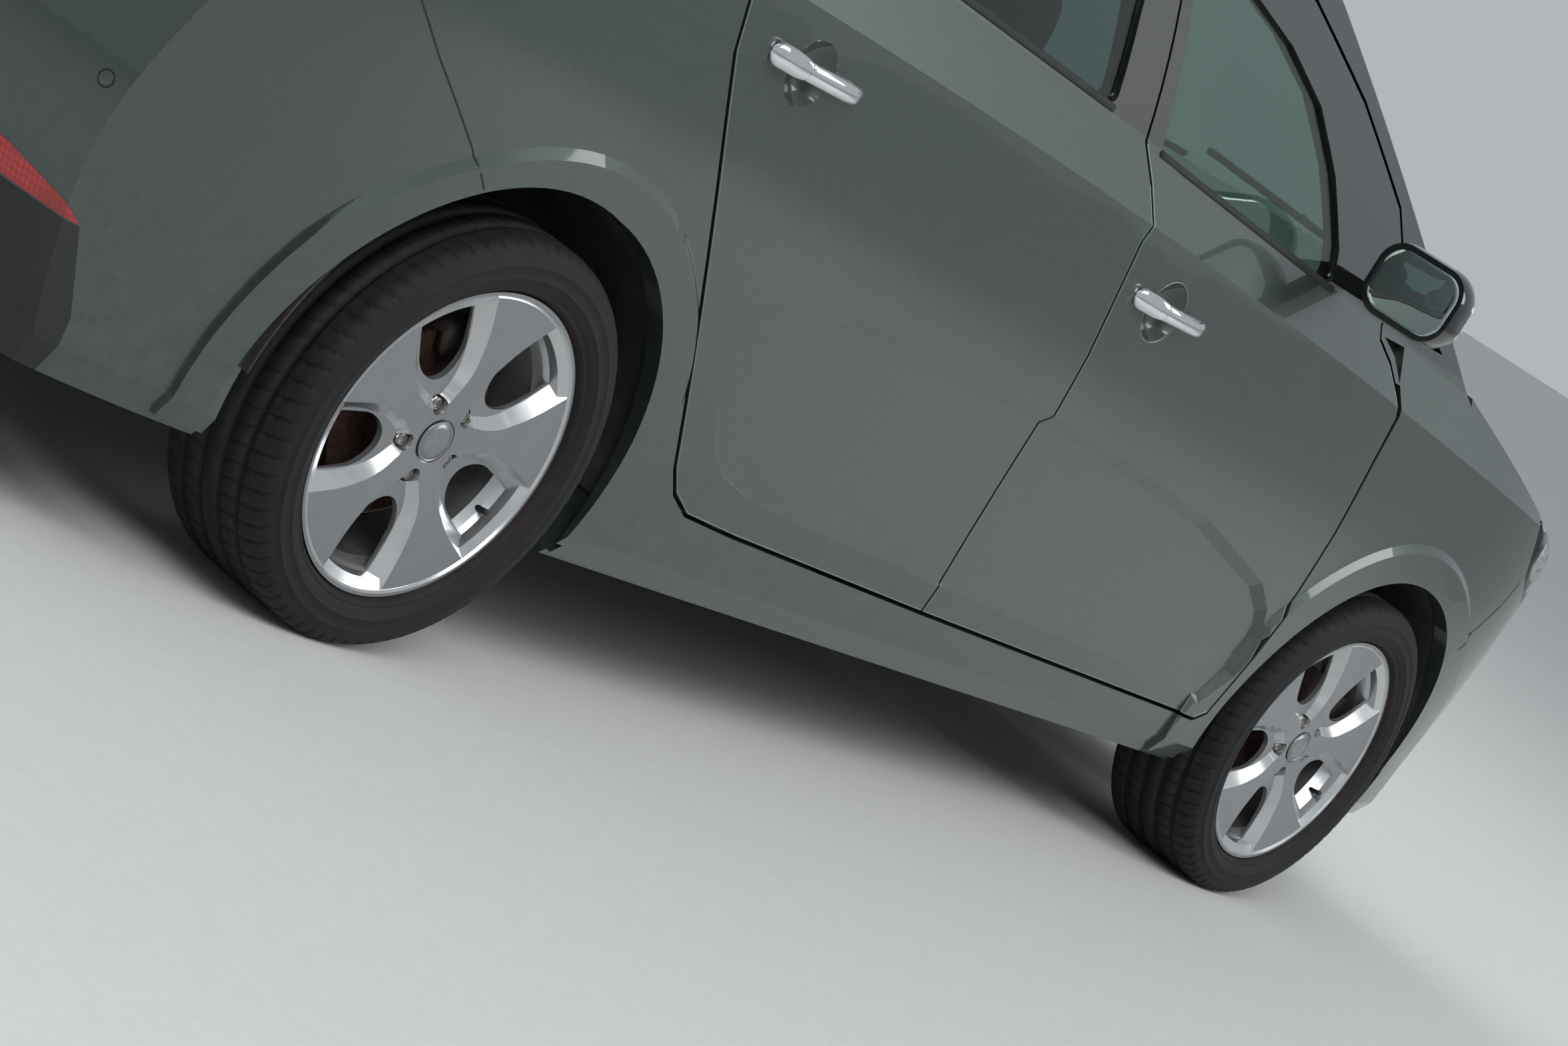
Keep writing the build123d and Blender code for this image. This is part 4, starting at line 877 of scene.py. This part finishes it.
# Front lamps: thin lenses over dark housings with bright bowls
# y, z, radius
LAMP_BOWLS = ((0.660, 0.760, 0.044), (0.770, 0.790, 0.040), (0.555, 0.740, 0.034))
BOWL_DEPTH = 0.040
LENS_INSET, LENS_THICK = 0.0002, 0.0030
HOUSING_INSET, HOUSING_DEEP = 0.0036, 0.062
lamp_tree = bvh("front_lamps")
panel_tree = bvh("front_bumper", "bonnet", "front_wings")


def skin_part(name, keep, inset, thick, tub=False):
    """The faces of a CAD node that keep() accepts, moved inwards by inset, as a sheet of some
    thickness, or as a tub without its lid."""
    bm = welded(name)
    bmesh.ops.delete(bm, geom=[f for f in bm.faces if not keep(f)], context="FACES")
    bm.normal_update()
    for v in bm.verts:
        v.co -= v.normal * inset
    bm.verts.index_update()
    verts = [v.co.copy() for v in bm.verts] + [v.co - v.normal * thick for v in bm.verts]
    count = len(bm.verts)
    front = [tuple(v.index for v in f.verts) for f in bm.faces]
    back = [tuple(i + count for i in f[::-1]) for f in front]
    rims = []
    for edge in bm.edges:
        if len(edge.link_faces) == 1:
            loop = edge.link_loops[0]
            a, b = loop.vert.index, loop.link_loop_next.vert.index
            rims.append((b, a, a + count, b + count))
    bm.free()
    return verts, (back if tub else front + back) + rims


def bowl(centre, radius, depth):
    """A reflector bowl that faces forward, with some thickness."""
    front = [(1.06, 0.002), (1.0, 0.004), (0.96, 0.0), (0.78, -depth * 0.55), (0.45, -depth * 0.9),
             (0.0, -depth)]
    back = [(0.0, -depth - 0.003), (0.5, -depth * 0.9 - 0.004), (0.84, -depth * 0.55 - 0.003),
            (1.02, 0.0)]
    return turned([(radius * f, along) for f, along in front + back], centre, FORWARD, 40)


def outer_face(side):
    """Tells a lamp's outer faces from its walls against the panels."""
    facing = Vector((0.62, 0.35 * side, 0.70))

    def test(face):
        middle = face.calc_center_median()
        return (middle.y * side > 0 and face.normal.dot(facing) > 0.12
                and panel_tree.ray_cast(middle, face.normal, 0.03)[0] is None)
    return test


def bowl_place(y, z, radius):
    """The centre and radius of the largest bowl at y, z that stays behind the lens."""
    while radius > 0.012:
        hits = [lamp_tree.ray_cast(Vector((3.0, y + radius * cos, z + radius * sin)), -FORWARD)[0]
                for cos, sin in circle(12)]
        if all(hits) and max(h.x for h in hits) - min(h.x for h in hits) < 0.075:
            return Vector((min(h.x for h in hits) - 0.008, y, z)), radius * 0.94
        radius *= 0.94
    raise ValueError(f"no bowl fits at {y}, {z}")


for name, side in SIDES:
    outer = outer_face(side)
    cover = skin_part("front_lamps", outer, LENS_INSET, LENS_THICK)
    lens = piece(name + "_lamp_lens", [cover], LENS)
    if side > 0:
        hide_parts("front_lamps")
    housing = skin_part("front_lamps", outer, HOUSING_INSET, HOUSING_DEEP, tub=True)
    piece(name + "_lamp_housing", [housing], GLOSS_BLACK)
    bowls, bulbs = [], []
    for y, z, radius in LAMP_BOWLS:
        centre, radius = bowl_place(side * y, z, radius)
        bowls.append(bowl(centre, radius, BOWL_DEPTH))
        bulb = [(0.0, 0.0), (radius * 0.30, -0.004), (radius * 0.42, -0.014),
                (radius * 0.42, -0.036), (0.0, -0.036)]
        bulbs.append(turned(bulb, centre, FORWARD, 24))
    piece(name + "_lamp_bowls", bowls, CHROME)
    piece(name + "_lamp_bulbs", bulbs, LENS)

# Seats: stuffed cushions on dark bases
FRONT_SEAT = (
    # part, x, z, size, lean, crown, side wings, seams, squareness
    ("_seat_cushion", 0.330, 0.500, (0.520, 0.500, 0.150), 4, 0.018, 0.030, (0.145,), 0.42),
    ("_seat_back", -0.010, 0.830, (0.620, 0.480, 0.120), 105, 0.012, 0.036, (0.140,), 0.42),
    ("_headrest", -0.112, 1.200, (0.165, 0.260, 0.085), 100, 0.010, 0.0, (), 0.6),
)
REAR_SEAT = (
    ("_cushion", -0.640, 0.490, (0.500, 0.424, 0.145), 3, 0.014, 0.008, (0.130,), 0.42),
    ("_back", -0.945, 0.840, (0.590, 0.424, 0.105), 105, 0.010, 0.008, (0.130,), 0.42),
    ("_headrest", -1.040, 1.178, (0.120, 0.240, 0.080), 100, 0.008, 0.0, (), 0.6),
)
FRONT_POSTS = (0.06, (-0.082, 1.050), (-0.108, 1.160))
REAR_POSTS = (0.05, (-1.010, 1.060), (-1.034, 1.150))
POST_RADIUS = 0.006
FLOOR_Z, BASE_TOP = 0.2925, 0.440


def cushion(name, centre, size, lean, crown, wings, seams, square):
    """A rounded block of foam: crowned in the middle, raised at both sides, with stitched seams.
    Size is along the seat, across and through it; lean turns it back."""
    rows, turns = 40, circle(64)
    half_x, half_y, half_z = (v / 2 for v in size)
    c, s = math.cos(math.radians(lean)), math.sin(math.radians(lean))
    verts = []
    for a in spaced(-math.pi / 2, math.pi / 2, rows):
        ring = power(math.cos(a), square)
        for cos, sin in turns:
            u, v = ring * power(cos, square), ring * power(sin, square)
            x, y, z = half_x * u, half_y * v, half_z * power(math.sin(a), 0.75)
            if z > 0:
                middle = crown * (1 - u * u) * (1 - 0.6 * v * v)
                sides = wings * max(0.0, (abs(v) - 0.55) / 0.45) ** 1.5 * (1 - 0.6 * u ** 4)
                for rise in (middle, sides):
                    z += rise * min(z / half_z * 1.4, 1)
                for seam in seams:
                    z -= 0.007 * math.exp(-((abs(y) - seam) / 0.006) ** 2) * min(z / half_z, 1)
            verts.append((centre[0] + x * c - z * s, centre[1] + y, centre[2] + x * s + z * c))
    foam = (verts, tube_faces(rows + 1, len(turns), capped=False))
    pad = piece(name, [foam], CLOTH)
    soft = pad.modifiers.new("soft", "SUBSURF")
    soft.levels = 1
    soft.render_levels = 1


def seat(name, y, parts, posts):
    """One seat's cushions; gives back its two headrest posts."""
    for part, x, z, *form in parts:
        cushion(name + part, (x, y, z), *form)
    gap, (low_x, low_z), (high_x, high_z) = posts
    return [post((low_x, y + shift, low_z), (high_x, y + shift, high_z), POST_RADIUS)
            for shift in (-gap, gap)]


bases = []
for name, side in SIDES:
    y = side * 0.390
    bases += seat(name, y, FRONT_SEAT, FRONT_POSTS)
    bases.append(rounded_block((0.070, y - 0.225, FLOOR_Z), (0.450, y + 0.225, BASE_TOP)))
seat_base = piece("front_seat_bases", bases, TRIM)
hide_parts("front_seats")
bases = []
for name, y in (("left", 0.425), ("middle", 0.0), ("right", -0.425)):
    bases += seat("rear_" + name, y, REAR_SEAT, REAR_POSTS)
for low_y, high_y in ((-0.560, -0.126), (0.126, 0.560)):
    bases.append(rounded_block((-0.860, low_y, FLOOR_Z), (-0.450, high_y, BASE_TOP)))
bench_base = piece("rear_seat_bases", bases, TRIM)
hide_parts("rear_seats")

# Steering wheel
WHEEL_CENTRE = Vector((0.600, 0.370, 0.950))
COLUMN_LEAN = math.radians(25)
COLUMN = Vector((-math.cos(COLUMN_LEAN), 0, math.sin(COLUMN_LEAN)))
RIM_RADIUS, GRIP_RADIUS = 0.1735, 0.0145
HUB_PROFILE = ((0.0, 0.020), (0.040, 0.018), (0.062, 0.008), (0.066, -0.008), (0.050, -0.024),
               (0.012, -0.028), (0.012, 0.002), (0.0, 0.002))
SPOKE_PATH = ((0.050, -0.002), (0.100, -0.006), (0.166, 0.0))

rim = [(RIM_RADIUS + GRIP_RADIUS * cos, GRIP_RADIUS * sin) for cos, sin in circle(14)]
shapes = [turned(rim, WHEEL_CENTRE, COLUMN, 72, True),
          turned(HUB_PROFILE, WHEEL_CENTRE, COLUMN, 40)]
for angle in (0, 180, 270):
    a = math.radians(angle)
    out = ACROSS * math.cos(a) - COLUMN.cross(ACROSS) * math.sin(a)
    points = [WHEEL_CENTRE + out * r + COLUMN * along for r, along in SPOKE_PATH]
    shapes.append(swept(points, COLUMN, bar_section(0.021, 0.018, -0.006, 0.006)))
wheel = piece("leather_steering_wheel", shapes, TRIM, "steering_wheel")
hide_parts("steering_wheel")

# Console, display, vents and instrument hood
LEVER_KNOB = ((0.0, -0.030), (0.014, -0.026), (0.022, -0.008), (0.023, 0.006), (0.016, 0.020),
              (0.0, 0.024))
DISPLAY_FACING = Vector((-0.772, 0, 0.636)).normalized()
DISPLAY_UP = Vector((0.636, 0, 0.772)).normalized()
VENT_X, VENT_Z = 0.7255, 0.850
VENT_FACING, VENT_UP = Vector((-0.997, 0, 0.083)), Vector((0.083, 0, 0.997))
HOOD_Y, HOOD_Z, HOOD_HALF, HOOD_RISE = 0.370, 0.9845, 0.150, 0.058
HOOD_STATIONS = ((0.745, 1.0), (0.800, 1.06), (0.930, 0.75), (1.000, 0.30))

piece("centre_console", [
    rounded_block((-0.280, -0.100, 0.371), (0.200, 0.100, 0.560), 0.020),
    rounded_block((0.180, -0.105, 0.371), (0.740, 0.105, 0.640), 0.025),
    post((0.420, 0.0, 0.638), (0.405, 0.0, 0.735), 0.008),
    turned(LEVER_KNOB, (0.405, 0.0, 0.745), UP, 24),
], TRIM)

outline = rounded_outline((0.764, 0.0, 0.942), ACROSS, DISPLAY_UP, 0.210, 0.100, 0.008)
display = slab(outline, DISPLAY_FACING, 0.008, 0.002)
piece("dash_display", [display], SCREEN)

vents = []
for y in (-0.600, -0.185, 0.185, 0.600):
    outline = rounded_outline((VENT_X, y, VENT_Z), ACROSS, VENT_UP, 0.120, 0.070, 0.016)
    vents.append(slab(outline, VENT_FACING, 0.006, 0.002))
    for shift in (-0.018, 0.0, 0.018):
        bar = [Vector((VENT_X - 0.006, y + f, VENT_Z + shift)) for f in (-0.050, 0.0, 0.050)]
        vents.append(swept(bar, -FORWARD, bar_section(0.003, 0.002, -0.001, 0.004)))
piece("dash_vents", vents, GLOSS_BLACK)

arch = [(HOOD_HALF * math.cos(a), HOOD_RISE * math.sin(a)) for a in spaced(0, math.pi, 8)]
verts = [(x, HOOD_Y + y * grow, HOOD_Z + z * grow) for x, grow in HOOD_STATIONS for y, z in arch]
faces = [(a, a + 1, a + 10, a + 9) for i in range(3) for a in range(i * 9, i * 9 + 8)]
piece("dash_hood", [(verts, faces)], TRIM)

# Door trims: armrest, pull, pocket and speaker on each door's inner face
DOOR_TRIMS = (
    # row, armrest x and z, armrest length, pocket x, pocket length
    ("front", 0.270, 0.730, 0.460, 0.230, 0.420),
    ("rear", -0.560, 0.750, 0.360, -0.520, 0.300),
)
POCKET_Z = 0.440
SPEAKER_X, SPEAKER_Z, SPEAKER_RADIUS = 0.600, 0.500, 0.078


def inner_face(tree, x, z, side):
    """Where a door's inner face stands at x, z."""
    place = tree.ray_cast(Vector((x, side * 0.45, z)), ACROSS * side)[0]
    return Vector((x, place.y, z))


for name, side in SIDES:
    inwards = ACROSS * -side
    for row, arm_x, arm_z, arm_long, pocket_x, pocket_long in DOOR_TRIMS:
        door = f"{row}_{name}_door"
        tree = bvh(door)
        arm = rounded_outline(inner_face(tree, arm_x, arm_z, side), FORWARD, UP,
                              arm_long, 0.074, 0.034)
        pocket = rounded_outline(inner_face(tree, pocket_x, POCKET_Z, side), FORWARD, UP,
                                 pocket_long, 0.130, 0.050)
        shapes = [slab(arm, inwards, 0.052, 0.014, 0.003, 4),
                  slab(pocket, inwards, 0.024, 0.010, 0.004, 4)]
        pull = inner_face(tree, arm_x + arm_long * 0.30, arm_z + 0.110, side)
        path = [pull + Vector((-0.070 * math.cos(a), 0, 0.012 * math.sin(a)))
                + inwards * (0.034 * math.sin(a) - 0.002) for a in spaced(0, math.pi, 12)]
        shapes.append(swept(path, inwards, round_section(0.0095, 10)))
        if row == "front":
            centre = inner_face(tree, SPEAKER_X, SPEAKER_Z, side)
            for f in (1.0, 0.82, 0.66, 0.50, 0.34, 0.18):
                r = SPEAKER_RADIUS * f
                ring = [(r, -0.004), (r, 0.004), (r - 0.003, 0.006), (r - 0.006, 0.004),
                        (r - 0.006, -0.004)]
                shapes.append(turned(ring, centre, inwards, 48, True))
        piece(door + "_trim", shapes, TRIM, door)

# Inside mirror, hung from the windscreen
place, inside = cast(screen_tree, (0.500, 0, 1.000), Vector((0.09, 0, 1)))
stalk = place + inside * 0.055
outline = rounded_outline(stalk + Vector((0.012, 0, -0.020)), ACROSS, UP, 0.240, 0.062, 0.024)
shapes = [post(place + inside * 0.0005, stalk, 0.007),
          slab(outline, -FORWARD, 0.018, 0.006, 0.0, 4)]
piece("inside_mirror", shapes, TRIM)
outline = rounded_outline(stalk + Vector((-0.0061, 0, -0.020)), ACROSS, UP, 0.224, 0.048, 0.018)
glass = slab(outline, -FORWARD, 0.0012, 0.0004)
piece("inside_mirror_glass", [glass], MIRROR)

# Camera and stage
CAMERA_PLACE = (-6.109, -4.459, 1.274)
CAMERA_TURNS = (32.82, -7.70, 32.02)
CAMERA_LENS = 102.0
FLOOR_HALF = 60
LAMPS = (
    # name, place, aim, size, power
    ("key", (-5.0, -6.0, 6.5), (0, 0, 0.6), 5.0, 420),
    ("fill", (4.5, -6.5, 4.5), (0.5, 0, 0.6), 4.5, 230),
    ("back", (2.0, 6.5, 5.0), (0, 0, 0.8), 5.0, 260),
)


def camera():
    """The photograph's viewpoint, leaning with the frame's tilt."""
    yaw, pitch, roll = (math.radians(v) for v in CAMERA_TURNS)
    forward = Vector((math.cos(pitch) * math.cos(yaw), math.cos(pitch) * math.sin(yaw),
                      math.sin(pitch)))
    level = Vector((math.sin(yaw), -math.cos(yaw), 0))
    upright = level.cross(forward)
    right = math.cos(roll) * level + math.sin(roll) * upright
    up = -math.sin(roll) * level + math.cos(roll) * upright
    data = bpy.data.cameras.new("photo_camera")
    data.sensor_width = 36
    data.lens = CAMERA_LENS
    data.clip_end = 200
    obj = placed("photo_camera", data)
    turn = Matrix((right, up, -forward)).transposed().to_4x4()
    obj.matrix_world = Matrix.Translation(CAMERA_PLACE) @ turn
    bpy.context.scene.camera = obj


def studio():
    """A pale floor, a pale world and three soft lamps."""
    mesh = bpy.data.meshes.new("floor")
    h = FLOOR_HALF
    mesh.from_pydata([(-h, -h, 0), (h, -h, 0), (h, h, 0), (-h, h, 0)], [], [(0, 1, 2, 3)])
    floor = placed("floor", mesh)
    m, t, s, c = material("pale_floor", Roughness=0.85)
    connect(t, s, Base_Color=ramp(t, noise(t, c, 30.0, 8.0), (0.3, (0.60, 0.60, 0.59)),
                                  (0.7, (0.63, 0.63, 0.62))))
    floor.data.materials.append(m)
    world = bpy.data.worlds.new("studio")
    bpy.context.scene.world = world
    world.use_nodes = True
    background = world.node_tree.nodes["Background"]
    background.inputs["Color"].default_value = (0.80, 0.86, 0.90, 1)
    background.inputs["Strength"].default_value = 0.55
    for name, place, aim, size, watts in LAMPS:
        data = bpy.data.lights.new(name, "AREA")
        data.size = size
        data.energy = watts
        lamp = placed(name, data)
        lamp.location = place
        way = Vector(aim) - Vector(place)
        lamp.rotation_euler = way.to_track_quat("-Z", "Y").to_euler()
    bpy.context.scene.view_settings.view_transform = "Standard"


camera()
studio()
